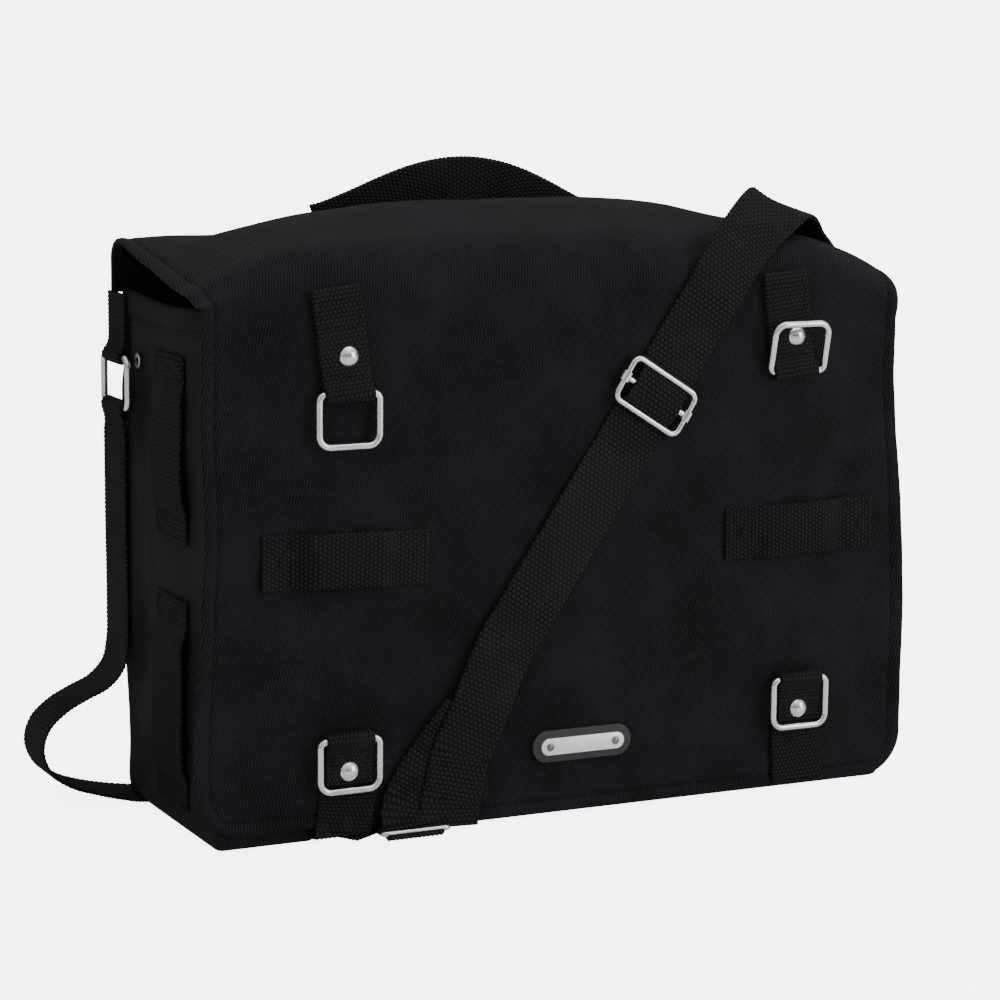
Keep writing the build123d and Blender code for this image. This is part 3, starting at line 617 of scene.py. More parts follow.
# %% Binding of the mouth
inside_turn = [(2.9, 248.2), (2.1, 248), (2.05, 255), (2.0, 261.5), (1.0, 262.9), (0.1, 262.4)]
outside_turn = [(-0.1, 256), (-0.15, 251), (-0.7, 250.6), (-1.05, 251), (-1.1, 256), (-1.1, 262)]
over_turn = [(-0.6, 263.4), (0.6, 264.0), (2.0, 263.8), (3.0, 262.8), (3.3, 258), (3.3, 250), (2.9, 248.2)]
section = np.array(inside_turn + outside_turn + over_turn)
section_s = distances(section)


def mouth_line(col, inset, z):
    """Places of the tape: in from the walls by inset, at heights z."""
    flat = plan_place(col, inset, sway(col, np.full(len(col), 256.0)))
    return np.column_stack([flat, z - mouth_drop(col, z)])


def binding_shape(u, v):
    col = np.round(u * (len(plan) - 1)).astype(int)
    row = np.round(v * (len(section) - 1)).astype(int)
    return mouth_line(col, section[row, 0], section[row, 1]), np.stack([plan_s[col], section_s[row]], 1)


binding = skin("mouth_tape", len(plan) - 1, len(section) - 1, binding_shape)
every = np.arange(len(plan))
normals = np.column_stack([plan[:, 2:], np.zeros(len(plan))])
tape_seam = mouth_line(every, np.full(len(plan), -1.15), np.full(len(plan), 252.6))
binding_thread = stitches("mouth_tape_stitches", [(tape_seam, normals)])
print("binding faces", len(binding.data.polygons))

# %% [markdown]
# ## Tabs, loops and closures
# Each of these is one length of webbing. A tab is folded round its ring's wire and sewn to itself,
# so its line goes down behind the wire, round it and back up in front.

# %% Folds round a wire
wire_r = 1.8
wire_gap = 0.06
fold_mid = wire_r + wire_gap + web / 2
axis_off = web + wire_gap + wire_r
first_ply, second_ply = web / 2, web * 1.5
tab_hump = (2.3, 2.1)


def arc(centre, radius, start, end, count=9):
    """Points on an arc in a plane (u, v) between two angles in degrees."""
    a = np.radians(np.linspace(start, end, count))
    return [(centre[0] + radius * math.cos(t), centre[1] + radius * math.sin(t)) for t in a]


def flap_line(x, places, lean=0.0, pivot=0.0):
    """Points standing off the flap's front: places are (height, off)."""
    places = np.array(places)
    return on_flap(x - lean * (places[:, 0] - pivot), at_height(places[:, 0]), places[:, 1])


def sewn_lines(pairs, place, normal, count=12):
    """Runs of stitches from a to b of each pair; place turns two coordinates into points."""
    runs = []
    for a, b in pairs:
        t = np.linspace(0, 1, count)
        line = place(a[0] + (b[0] - a[0]) * t, a[1] + (b[1] - a[1]) * t)
        runs.append((line, normal(line) if callable(normal) else np.array(normal, float)))
    return runs


def box_pairs(x0, x1, z0, z1, cross=False):
    """Sides of a sewn box, with or without a cross."""
    loop = [(x0, z0), (x1, z0), (x1, z1), (x0, z1), (x0, z0)]
    pairs = list(zip(loop[:-1], loop[1:]))
    return pairs + [((x0, z0), (x1, z1)), ((x0, z1), (x1, z0))] if cross else pairs


def box_stitch(x0, x1, z0, z1, off, cross=False):
    """Runs of a sewn box on the flap's front."""
    return sewn_lines(box_pairs(x0, x1, z0, z1, cross), lambda x, z: on_flap(x, at_height(z), off), out_at)


# %% Upper tabs
tab_lean = 0.13


def upper_tab(side, x):
    ring_z = corners(f"upper_tab_{side}")[0][2] + axis_off
    high = corners(f"upper_tab_{side}")[1][2]
    behind = [(z, first_ply) for z in np.linspace(high - 1, ring_z + 3, 18)]
    fold = [(ring_z + v, axis_off + u) for u, v in arc((0, 0), fold_mid, 180, 360)]
    ahead_z = np.linspace(ring_z + 1.5, high + 0.6, 20)
    ahead = [(z, second_ply + 3.7 * math.exp(-((z - ring_z) / 5.0) ** 2)) for z in ahead_z]
    line = flap_line(x, behind + fold + ahead, tab_lean, ring_z)
    tab = web_band(f"upper_tab_cloth_{side}", line, 25.0, hump=tab_hump)
    half, shift = 9.8, tab_lean * (high - 11 - ring_z)
    runs = box_stitch(x - half - shift, x + half - shift, high - 5, high - 18, 3.95)
    runs += box_stitch(x - half - 1, x + half - 1, ring_z + 9, ring_z + 9.1, 4.05)[:1]
    return tab, stitches(f"upper_tab_stitches_{side}", runs)


tabs = {"left": upper_tab("left", left_x), "right": upper_tab("right", tab_x)}
print("upper tabs at", left_x, tab_x)


# %% Belt loops
def belt_loop(side):
    low, high = corners(f"belt_loop_{side}")
    x = np.linspace(low[0], high[0], 60)
    d = np.minimum(x - low[0], high[0] - x)
    off = first_ply + 2.4 * ease(d, 17, 27) + 0.25 * soft_noise(x, 0 * x, 30, 4 if side == "left" else 9)
    z = (low[2] + high[2]) / 2
    tilt = 0.02 * (x - x.mean()) * (0.6 if side == "right" else -0.25)
    line = on_flap(x, at_height(z + tilt), off)
    band = web_band(f"belt_loop_cloth_{side}", line, high[2] - low[2], across=(0, 0, 1), hump=(2.3, 2.2))
    runs = []
    for a, b in ((low[0] + 2, low[0] + 15.5), (high[0] - 15.5, high[0] - 2)):
        runs += box_stitch(a, b, low[2] + 2.2, high[2] - 2.2, 2.0, cross=True)
    return band, stitches(f"belt_loop_stitches_{side}", runs, pitch=2.6)


loops = {side: belt_loop(side) for side in ("left", "right")}


# %% Closure straps
def closure(side, x):
    ring_z = corners(f"closure_ring_{side}")[1][2] - wire_r
    lift = 1.4
    under = [(x, y, 3.1) for y in np.linspace(front + 10, front + 2.4, 5)]
    turn = [(x, front + 1.2 + 2.6 * u, 5.7 + 2.6 * v) for u, v in arc((0, 0), 1, -90, -180, 6)]
    up = [(x, front - lift, z) for z in np.linspace(8, ring_z - 3, 16)]
    axis_y = front - 4.46
    fold = [(x, axis_y + u, ring_z + v) for u, v in arc((0, 0), fold_mid, 0, 180)]
    ends = np.linspace(ring_z - 3, ring_z - 22.6, 10)
    outer = [(x, front - lift - web - 3.0 * math.exp(-((z - ring_z) / 4.5) ** 2), z) for z in ends]
    line = np.array(under + turn + up + fold + outer)
    single = (line[:, 2] < ring_z - 24) & (np.arange(len(line)) < len(under + turn + up))
    wide = np.where(single, 29.5, 24.6)
    low = ease(ring_z - 26 - line[:, 2], 0, 30)
    line[:, 0] += (-3.2 if side == "left" else 1.2) * low
    band = web_band(f"closure_cloth_{side}", line, wide, hump=tab_hump)
    seam_y = front - lift - web - 1.15
    pairs = box_pairs(x - 9.5, x + 9.5, ring_z - 4.6, ring_z - 21)
    runs = sewn_lines(pairs, lambda a, b: np.column_stack([a, 0 * a + seam_y, b]), (0, -1, 0))
    return band, stitches(f"closure_stitches_{side}", runs)


closures = {"left": closure("left", left_x), "right": closure("right", right_x)}

# %% [markdown]
# ## Side webbing
# Two upright loops stand on each side wall, slack between their sewn ends. The ring that carries the
# shoulder strap hangs in a tab at the back corner. One function makes each kind, and the right side
# is the left one with the sign of x turned, so both sides stay alike.


# %% Side loops and ring tabs
def side_loop(level, side, sign):
    low, high = corners(f"side_loop_{level}_{side}")
    z = np.linspace(low[2], high[2], 60)
    d = np.minimum(z - low[2], high[2] - z)
    slack = 0.5 * soft_noise(z, 0 * z, 45, 11 if level == "upper" else 14)
    x = sign * (half_w + first_ply + (2.6 + slack) * ease(d, 13, 24))
    y = (low[1] + high[1]) / 2 + 0.9 * np.sin(z / 31.0)
    line = np.column_stack([x, y, z])
    name = f"side_loop_cloth_{level}_{side}"
    band = web_band(name, line, high[1] - low[1], across=(0, 1, 0), hump=(2.5, 2.3))
    seam_x = sign * (half_w + 2.0)
    pairs = box_pairs(low[1] + 3, high[1] - 3, low[2] + 2, low[2] + 12.5, cross=True)
    pairs += box_pairs(low[1] + 3, high[1] - 3, high[2] - 12.5, high[2] - 2, cross=True)
    runs = sewn_lines(pairs, lambda a, b: np.column_stack([0 * a + seam_x, a, b]), (sign, 0, 0))
    return band, stitches(name.replace("cloth", "stitches"), runs, pitch=2.8)


def ring_tab(side, sign):
    low, high = corners(f"ring_tab_{side}")
    axis_z, y = low[2] + axis_off, (low[1] + high[1]) / 2
    outer = half_w + axis_off
    back_run = [(half_w + first_ply, z) for z in np.linspace(high[2] - 1, axis_z + 3, 10)]
    fold = [(outer + u, axis_z + v) for u, v in arc((0, 0), fold_mid, 180, 360)]
    rise_z = np.linspace(axis_z + 2, high[2] + 0.4, 12)
    rise_run = [(half_w + second_ply + 3.6 * math.exp(-((z - axis_z) / 4.5) ** 2), z) for z in rise_z]
    line = np.array([(sign * a, y, b) for a, b in back_run + fold + rise_run])
    return web_band(f"ring_tab_cloth_{side}", line, 25.0, across=(0, 1, 0), hump=tab_hump)


side_pieces = {}
for side, sign in (("left", -1), ("right", 1)):
    for level in ("upper", "lower"):
        side_pieces[level, side] = side_loop(level, side, sign)
    side_pieces["tab", side] = ring_tab(side, sign)
print("side pieces", len(side_pieces))

# %% [markdown]
# ## The shoulder strap
# The long strap is sewn round the left ring, drops down the back corner, swings out in a slack loop
# and passes under the base to a flat link. From there it climbs the front, goes through the slider
# and over the shoulder, and stands in a stiff bend before it drops to the right ring.

# %% Left end, slack loop and the run under the base
ring_low, ring_high = corners("side_ring_left")
lower_wire = ring_low[2] + wire_r
wire_x = (ring_low[0] + ring_high[0]) / 2
strap_y = (ring_low[1] + ring_high[1]) / 2
stub = [(wire_x + 0.95, z) for z in np.linspace(lower_wire - 43, lower_wire - 5, 10)]
fold = [(wire_x + u, lower_wire + v) for u, v in arc((0, 0), fold_mid, 0, 180)]
fall_z = np.linspace(lower_wire - 2, lower_wire - 44, 12)
fall = [(wire_x - 0.95 - 1.8 * math.exp(-((z - lower_wire) / 5.0) ** 2), z) for z in fall_z]
slack = [(-194.6, 140), (-194.4, 118), (-194.4, 96), (-194.8, 81), (-197.5, 69), (-205, 61), (-216, 56)]
slack += [(-227.5, 50), (-237, 41), (-240, 30), (-236, 19), (-226, 11), (-210, 5)]
under_z = 1.15
under = [(-190, 60.5), (-176, 52), (-163, 37), (-145, 6), (-124, -30), (-104, -63)]
under_side = [(0.2, 1, 0), (0.5, 0.86, 0), (0.75, 0.6, 0)] + [(0.86, 0.5, 0)] * 3
line = [(a, strap_y, b) for a, b in stub + fold + fall + slack] + [(a, b, under_z) for a, b in under]
line = np.array(line)
across = np.array([(0, 1, 0)] * (len(line) - len(under)) + under_side, float)
wide = np.where(np.arange(len(line)) < len(stub + fold) + 3, 29.0, 32.0)
strap_left = web_band("shoulder_strap_left", line, wide, across=across)
seam_x = wire_x - 2.05
runs = sewn_lines(
    box_pairs(strap_y - 12, strap_y + 12, lower_wire - 40, lower_wire - 8),
    lambda a, b: np.column_stack([0 * a + seam_x, a, b]),
    (-1, 0, 0),
)
strap_left_thread = stitches("shoulder_strap_stitches_left", runs)

# %% Right end, sewn double round the lifted ring
right_wire = np.array([216.68, 239.73])
inside = [(206.5, 53, 263), (209, 56.2, 259.5), (211.4, 59.2, 255.5), (213.2, 62.2, 250.5)]
inside += [(213.9, 63.7, 245)]
fold = [(right_wire[0] + u, 64.0, right_wire[1] + v) for u, v in arc((0, 0), fold_mid, 180, 360)]
outside = [(219.1, 63.9, 243.5), (217.6, 63, 248.5), (215, 60.4, 253.8), (212, 56.8, 258.8)]
outside += [(208.3, 51.4, 265), (204.3, 46, 270.5)]
line = np.array(inside + fold + outside)
across = [(-0.3, 0.8, 0.45), (-0.25, 0.85, 0.4), (-0.15, 0.95, 0.25), (0, 1, 0.1)]
across += [(0, 1, 0)] * (len(fold) + 2)
across += [(-0.05, 1, 0.1), (-0.15, 0.95, 0.25), (-0.25, 0.85, 0.4), (-0.32, 0.78, 0.46), (-0.36, 0.78, 0.48)]
strap_right = web_band("shoulder_strap_right", line, 28.0, across=np.array(across, float))

# %% Front run with its stiff bend over the shoulder
link_low, link_high = corners("strap_link")
link_z = (link_low[2] + link_high[2]) / 2
link_front, link_back = link_low[1] + 1.5, link_high[1] - 1.5
foot = np.array([(link_low[0] + link_high[0]) / 2, 0.0])
knee = np.array([-52.0, 68.0])
bend_top = np.array([91.0, shoulder_z + shoulder_r * math.sqrt(0.5)])
strap_off = 1.2


def strap_x(z):
    """Middle of the strap on the front at height z."""
    low = foot[0] + (knee[0] - foot[0]) * z / knee[1]
    high = knee[0] + (bend_top[0] - knee[0]) * (z - knee[1]) / (bend_top[1] - knee[1])
    mix = ease(np.asarray(z, float), knee[1] - 14, knee[1] + 14)
    return low * (1 - mix) + high * mix


low_z = np.array([0.0, 13.0, 39.0, 64.0, 91.0])
low_x = np.array([-69.3, -68.8, -62.0, -49.5, float(strap_x(91.0))])


def front_x(z):
    """Middle of the upper layer, which hangs straighter near the floor than the layer in the link."""
    return np.where(z < 91, np.interp(z, low_z, low_x), strap_x(z))


heights = np.concatenate([[2.6, 5], np.linspace(9, 250, 41)])
spare = 2.6 * (1 - ease(heights, 52, 80)) + 1.6 * (1 - ease(heights, 4, 30))
hung = front_x(heights)
on_cloth = np.maximum(heights, hem)
smoothed = dents(hung, on_cloth) * ease(heights, 2, 26)
climb = on_flap(hung, at_height(on_cloth), strap_off + spare - smoothed)
climb[:, 2] = heights
# the stiff bend over the shoulder: place of the middle, and direction across the webbing
over = [
    ((75.5, -69.0, 259), (0.83, 0, -0.555)), ((82, -68.2, 268.5), (0.83, -0.01, -0.555)),
    ((89, -66.2, 277.5), (0.83, -0.02, -0.55)), ((97, -62.8, 286), (0.84, -0.04, -0.54)),
    ((106.5, -58.0, 293.8), (0.85, -0.07, -0.51)), ((116.5, -52.2, 300.2), (0.87, -0.1, -0.46)),
    ((126, -46.2, 304.2), (0.91, -0.14, -0.4)), ((131.5, -42.2, 305), (0.91, -0.22, -0.38)),
    ((136.5, -37.5, 304.4), (0.89, -0.32, -0.36)), ((143, -31, 302.4), (0.84, -0.44, -0.34)),
    ((153, -19, 298), (0.76, -0.58, -0.3)), ((166, -2, 292), (0.66, -0.7, -0.26)),
    ((181, 16, 285.5), (0.56, -0.8, -0.2)), ((194, 31, 279.5), (0.46, -0.87, -0.15)),
    ((204, 41.5, 273), (0.38, -0.92, -0.1)), ((211, 50, 265.5), (0.3, -0.95, -0.05)),
    ((214.5, 56, 258.5), (0.2, -1, 0)),
]
line = np.array(list(climb) + [middle for middle, way in over])
lower_side, upper_side = unit(np.array([0.93, 0, -0.36])), unit(np.array([0.832, 0, -0.555]))
mix = ease(heights, 48, 88)[:, None]
across = list(lower_side * (1 - mix) + upper_side * mix) + [way for middle, way in over]
strap_main = web_band("shoulder_strap_front", line, 32.0, across=np.array(across))

# %% Layer that comes up from the link, and the fold of the other strap
fold = [(foot[0] - 1, link_front + u, link_z + v) for u, v in arc((0, 0), 2.46, 180, 360, 7)]
z = np.array([8.0, 14, 21, 29, 38, 48, 58])
y = np.array([-73.2, -71.6, -70.4, -69.6, -69.3, -69.2, -69.2])
x = np.interp(z, [0, 14, 30, 48, 58], [-91, -88, -79, -65, -57])
patch_line = np.array(fold + list(np.column_stack([x, y, z])))
patch_side = [(1.0, 0, 0)] * 7 + [(1, 0, -0.08), (0.99, 0, -0.2), (0.95, 0, -0.34), (0.91, 0, -0.46)]
patch_side = np.array(patch_side + [(0.87, 0, -0.52), (0.85, 0, -0.54), (0.84, 0, -0.55)])
patch_wide = np.array([30.0] * 7 + [33, 34, 34, 33, 32, 31, 30])
strap_patch = web_band("shoulder_strap_link_layer", patch_line, patch_wide, across=patch_side)
inner_fold = [(foot[0], link_back + u, link_z + v) for u, v in arc((0, 0), 2.46, 300, 60, 13)]
strap_fold = web_band("shoulder_strap_link_fold", np.array(inner_fold), 29.5, hump=(2.7, 1.8), relief=0.2)
runs = []
for k in (3, 9):
    t = np.linspace(-14, 14, 12)[:, None]
    runs.append((climb[k] + t * lower_side + np.array([0, -1.25, 0]), np.array([0, -1.0, 0.1])))
patch_thread = stitches("shoulder_strap_sewn_end_stitches", runs)

# %% Layer that rides over the slider's middle bar
slider_low, slider_high = corners("slider_frame")
slider_mid = np.array([(slider_low[0] + slider_high[0]) / 2, (slider_low[2] + slider_high[2]) / 2])
t = np.linspace(-10.2, 10.2, 22)
bulge = 3.3 + 2.9 * np.cos(np.pi * t / 20.4) ** 0.7
along_x, along_z = 0.555, 0.832
line = np.column_stack([slider_mid[0] + t * along_x, front - bulge, slider_mid[1] + t * along_z])
slider_layer = web_band("slider_cloth", line, 29.6, across=upper_side)
print("strap points", len(climb) + len(over))

# %% [markdown]
# ## The carry handle
# Webbing folded double stands on edge as a low arch, wide at both feet, its peak right of the middle.
# Its outer and inner edge are drawn as two curves, and the band is laid between them, because a
# band of one width bent along one curve would be too narrow at the feet.

# %% Handle and its sewn pads
handle_low, handle_high = corners("carry_handle")
hinge = handle_low[2] + 2
t = np.linspace(0, 1, 50)
arch = 1 - np.abs(2 * t**1.12 - 1) ** 2.0
span = handle_high[0] - handle_low[0]
outer_edge = np.column_stack([handle_low[0] - 8 + (span - 6) * t, hinge - 2 + 35.5 * arch])
inner_edge = np.column_stack([handle_low[0] + 18 + (span - 58) * t, hinge - 2.5 + 9.5 * arch])
mid = (outer_edge + inner_edge) / 2
side = unit(outer_edge - inner_edge)
wide = np.linalg.norm(outer_edge - inner_edge, axis=1)
handle_y = (handle_low[1] + handle_high[1]) / 2
grip_line = np.column_stack([mid[:, 0], np.full(len(t), handle_y), mid[:, 1]])
grip_side = np.column_stack([side[:, 0], np.zeros(len(t)), side[:, 1]])
handle_hump = (2.2, 2.2)
grip = web_band("carry_handle_cloth", grip_line, wide, grip_side, thick=4.0, hump=handle_hump, relief=0.6)
pads = []
for name in ("left", "right"):
    low, high = corners(f"handle_anchor_{name}")
    x = np.linspace(low[0], high[0], 12)
    s = s_shoulder - ((low[1] + high[1]) / 2 - shoulder_y)
    line, wide = on_flap(x, s, first_ply), high[1] - low[1]
    pads.append(web_band(f"handle_pad_{name}", line, wide, (0, 1, 0), hump=handle_hump, relief=0.45))
print("handle peak", round(float(outer_edge[:, 1].max()), 1))

# %% [markdown]
# ## Badge
# A leather patch with rounded ends carries a plain metal plate, held by two slotted screws. Both
# start as a box of the right size: bevelling its four short edges rounds the ends, and a second,
# small bevel breaks the front rim, as a cutter and a polishing wheel would.


# %% Rounded tablets
def tablet(node, soften, steps):
    """Box the size of a CAD node, with its ends fully rounded and its rims softened."""
    low, high = corners(node)
    size, middle = high - low, (high + low) / 2
    clear()
    bpy.ops.mesh.primitive_cube_add(size=1, location=middle * MM, scale=size * MM)
    piece = bpy.context.object
    bpy.ops.object.transform_apply(location=True, rotation=True, scale=True)
    piece.name = node + "_shaped"
    piece.data.name = piece.name
    bpy.ops.object.mode_set(mode="EDIT")
    mesh = bmesh.from_edit_mesh(piece.data)
    for edge in mesh.edges:
        a, b = edge.verts
        edge.select_set(bool(abs(a.co.y - b.co.y) > size[1] * MM * 0.9))
    bmesh.update_edit_mesh(piece.data)
    bpy.ops.mesh.bevel(offset=size[2] * MM * 0.499, segments=16)
    mesh = bmesh.from_edit_mesh(piece.data)
    for face in mesh.faces:
        face.select_set(False)
    mesh.select_flush(False)
    for face in mesh.faces:
        if face.normal.y < -0.9:
            face.select_set(True)
    bmesh.update_edit_mesh(piece.data)
    bpy.ops.mesh.region_to_loop()
    bpy.ops.mesh.bevel(offset=soften * MM, segments=steps)
    bpy.ops.object.mode_set(mode="OBJECT")
    smooth(piece, 30)
    return piece


patch = tablet("badge_patch", 0.55, 4)
plate = tablet("badge_plate", 0.25, 3)
print("badge pieces", len(patch.data.polygons), len(plate.data.polygons))

# %% [markdown]
# ## Finishes
# Twill shows fine slanting ridges and webbing shows knots. Both get painted shade: their colour is
# darker in the valleys of the weave and paler on its tops. Both carry a little lint. Each effect is a
# node group with its own inputs, and each material places the groups with its own values.


# %% Node helpers
def group(name, inputs, outputs):
    """Empty node group with named float or vector sockets."""
    tree = bpy.data.node_groups.new(name, "ShaderNodeTree")
    for title, kind, value in inputs:
        socket = tree.interface.new_socket(title, in_out="INPUT", socket_type="NodeSocket" + kind)
        if value is not None:
            socket.default_value = value
    for title, kind in outputs:
        tree.interface.new_socket(title, in_out="OUTPUT", socket_type="NodeSocket" + kind)
    return tree, tree.nodes.new("NodeGroupInput").outputs, tree.nodes.new("NodeGroupOutput").inputs


def feed(tree, socket, value):
    """Link a socket, or set a number on it."""
    if isinstance(value, bpy.types.NodeSocket):
        tree.links.new(value, socket)
    else:
        socket.default_value = value


def math_node(tree, what, a, b=0.0):
    node = tree.nodes.new("ShaderNodeMath")
    node.operation = what
    feed(tree, node.inputs[0], a)
    feed(tree, node.inputs[1], b)
    return node.outputs[0]


def noise_node(tree, vector, scale, detail=3.0, rough=0.55):
    node = tree.nodes.new("ShaderNodeTexNoise")
    feed(tree, node.inputs["Vector"], vector)
    feed(tree, node.inputs["Scale"], scale)
    node.inputs["Detail"].default_value = detail
    node.inputs["Roughness"].default_value = rough
    return node.outputs["Fac"]


def remap(tree, value, low, high, to_low=0.0, to_high=1.0):
    node = tree.nodes.new("ShaderNodeMapRange")
    for socket, number in zip(node.inputs[:5], (value, low, high, to_low, to_high)):
        feed(tree, socket, number)
    return node.outputs[0]


# %% Twill ridges
vector_in = ("Vector", "Vector", None)
height_and_shade = [("Height", "Float"), ("Shade", "Float")]
twill_inputs = [vector_in, ("Pitch", "Float", 1.5), ("Wander", "Float", 0.6)]
twill, source, result = group("twill_ridges", twill_inputs, height_and_shade)
calc = partial(math_node, twill)


def along_way(tree, vector, way):
    """How far a vector reaches along a way."""
    dot = tree.nodes.new("ShaderNodeVectorMath")
    dot.operation = "DOT_PRODUCT"
    tree.links.new(vector, dot.inputs[0])
    dot.inputs[1].default_value = way
    return dot.outputs["Value"]


ridge_lean = math.radians(78)
pick_pitch = 0.9
ridge_way = (math.sin(ridge_lean) * math.tau, math.cos(ridge_lean) * math.tau, 0)
turns = calc("DIVIDE", along_way(twill, source["Vector"], ridge_way), source["Pitch"])
drift = calc("MULTIPLY", noise_node(twill, source["Vector"], 0.35, 2.0), source["Wander"])
wave = calc("SINE", calc("ADD", turns, calc("MULTIPLY", drift, 6.0)))
picks = calc("SINE", along_way(twill, source["Vector"], (0, math.tau / pick_pitch, 0)))
height = calc("ADD", wave, calc("MULTIPLY", picks, 0.22))
twill.links.new(height, result["Height"])
# Shade is painted shade: the colour follows the relief, darker in the grooves between ridges and paler on
# their tops.
twill.links.new(remap(twill, height, -1.0, 1.0), result["Shade"])

# %% Knots of webbing
knots, source, result = group("webbing_knots", [vector_in, ("Fuzz", "Float", 0.5)], height_and_shade)
calc = partial(math_node, knots)
apart = knots.nodes.new("ShaderNodeSeparateXYZ")
knots.links.new(source["Vector"], apart.inputs[0])
across_way, down_way = apart.outputs[0], apart.outputs[1]
odd = calc("MULTIPLY", calc("FLOORED_MODULO", calc("FLOOR", down_way), 2.0), 0.5)
column = calc("ADD", across_way, odd)
over_knot = calc("ABSOLUTE", calc("SINE", calc("MULTIPLY", column, math.pi)))
along_knot = calc("ABSOLUTE", calc("SINE", calc("MULTIPLY", down_way, math.pi)))
dome = calc("MULTIPLY", over_knot, along_knot)
slant = calc("ADD", column, calc("MULTIPLY", down_way, 0.6))
strands = calc("SINE", calc("MULTIPLY", slant, math.tau * 3))
fuzz = calc("MULTIPLY", noise_node(knots, source["Vector"], 3.1, 4.0), source["Fuzz"])
knot_height = calc("ADD", calc("ADD", dome, calc("MULTIPLY", strands, 0.12)), fuzz)
knots.links.new(knot_height, result["Height"])
# Shade is painted shade: the colour follows the knots' relief, darker in the valleys between knots and paler
# on their tops.
knots.links.new(remap(knots, knot_height, 0.25, 1.35), result["Shade"])

# %% Lint and mottling
lint, source, result = group("cotton_lint", [vector_in, ("Amount", "Float", 0.5)], [("Mask", "Float")])
calc = partial(math_node, lint)
broad = remap(lint, noise_node(lint, source["Vector"], 0.022, 4.0, 0.6), 0.35, 0.7)
fine = remap(lint, noise_node(lint, source["Vector"], 1.9, 2.0, 0.7), 0.62, 0.8)
mask = calc("ADD", calc("MULTIPLY", broad, 0.55), calc("MULTIPLY", fine, 0.45))
lint.links.new(calc("MULTIPLY", mask, source["Amount"]), result["Mask"])

# %% Scuffs of worn metal, and grain of leather
scaled_inputs = [vector_in, ("Scale", "Float", 900.0)]
mask_and_height = [("Mask", "Float"), ("Height", "Float")]
scuffs, source, result = group("metal_scuffs", scaled_inputs, mask_and_height)
grit = noise_node(scuffs, source["Vector"], source["Scale"], 4.0, 0.6)
patchy = noise_node(scuffs, source["Vector"], 160.0, 3.0)
scuffs.links.new(remap(scuffs, math_node(scuffs, "ADD", grit, patchy), 0.7, 1.3), result["Mask"])
scuffs.links.new(grit, result["Height"])

grain, source, result = group("leather_grain", scaled_inputs, mask_and_height)
cells = grain.nodes.new("ShaderNodeTexVoronoi")
cells.feature = "DISTANCE_TO_EDGE"
grain.links.new(source["Vector"], cells.inputs["Vector"])
grain.links.new(source["Scale"], cells.inputs["Scale"])
grain.links.new(remap(grain, cells.outputs["Distance"], 0.0, 0.25), result["Height"])
grain.links.new(noise_node(grain, source["Vector"], 240.0, 3.0), result["Mask"])
print("groups", [g.name for g in bpy.data.node_groups])


# %% Material helpers
def material(name, roughness, metallic=0.0):
    finish = bpy.data.materials.new(name)
    finish.use_nodes = True
    tree = finish.node_tree
    shader = tree.nodes["Principled BSDF"]
    shader.inputs["Roughness"].default_value = roughness
    shader.inputs["Metallic"].default_value = metallic
    return finish, tree, shader


def place(tree, what, vector, **values):
    node = tree.nodes.new("ShaderNodeGroup")
    node.node_tree = what
    tree.links.new(vector, node.inputs["Vector"])
    for title, value in values.items():
        node.inputs[title].default_value = value
    return node.outputs


def blend_colours(tree, factor, dark, light):
    node = tree.nodes.new("ShaderNodeMix")
    node.data_type = "RGBA"
    tree.links.new(factor, node.inputs["Factor"])
    for title, colour in (("A", dark), ("B", light)):
        socket = [s for s in node.inputs if s.name == title and s.type == "RGBA"][0]
        feed(tree, socket, colour if isinstance(colour, bpy.types.NodeSocket) else (*colour, 1))
    return [s for s in node.outputs if s.type == "RGBA"][0]


def relief_node(tree, shader, height, distance, strength):
    node = tree.nodes.new("ShaderNodeBump")
    node.inputs["Strength"].default_value = strength
    node.inputs["Distance"].default_value = distance
    tree.links.new(height, node.inputs["Height"])
    tree.links.new(node.outputs["Normal"], shader.inputs["Normal"])


def cloth_map(tree):
    """The piece's own map, in millimetres along the cloth."""
    return tree.nodes.new("ShaderNodeTexCoord").outputs["UV"]


def solid_map(tree):
    return tree.nodes.new("ShaderNodeTexCoord").outputs["Object"]


# %% Canvas and webbing
def cloth_finish(name, pattern, dark, light, dusty, lint_amount, rough, sheen, gloss, depth, strength,
                 **values):
    """Woven cotton: painted shade in the pattern's valleys, paler dusty lint, and the pattern's relief."""
    finish, tree, shader = material(name, 0.87)
    chart = cloth_map(tree)
    weave = place(tree, pattern, chart, **values)
    fluff = place(tree, lint, chart, Amount=lint_amount)
    # Painted shade: the pattern's Shade makes the cloth colour darker in the valleys of the weave.
    ground = blend_colours(tree, weave["Shade"], dark, light)
    dust = blend_colours(tree, fluff["Mask"], ground, dusty)
    tree.links.new(dust, shader.inputs["Base Color"])
    tree.links.new(remap(tree, fluff["Mask"], 0.0, 1.0, rough, 0.96), shader.inputs["Roughness"])
    shader.inputs["Sheen Weight"].default_value = sheen
    shader.inputs["Specular IOR Level"].default_value = gloss
    relief_node(tree, shader, weave["Height"], depth, strength)
    return finish


def dust_over(light, gain, lift):
    return [c * gain + lift for c in light]


def webbing_finish(name, dark, light, fuzz):
    return cloth_finish(name, knots, dark, light, dust_over(light, 1.7, 0.001), lint_amount=0.7, rough=0.82,
                        sheen=0.015, gloss=0.06, depth=0.0005, strength=0.6, Fuzz=fuzz)


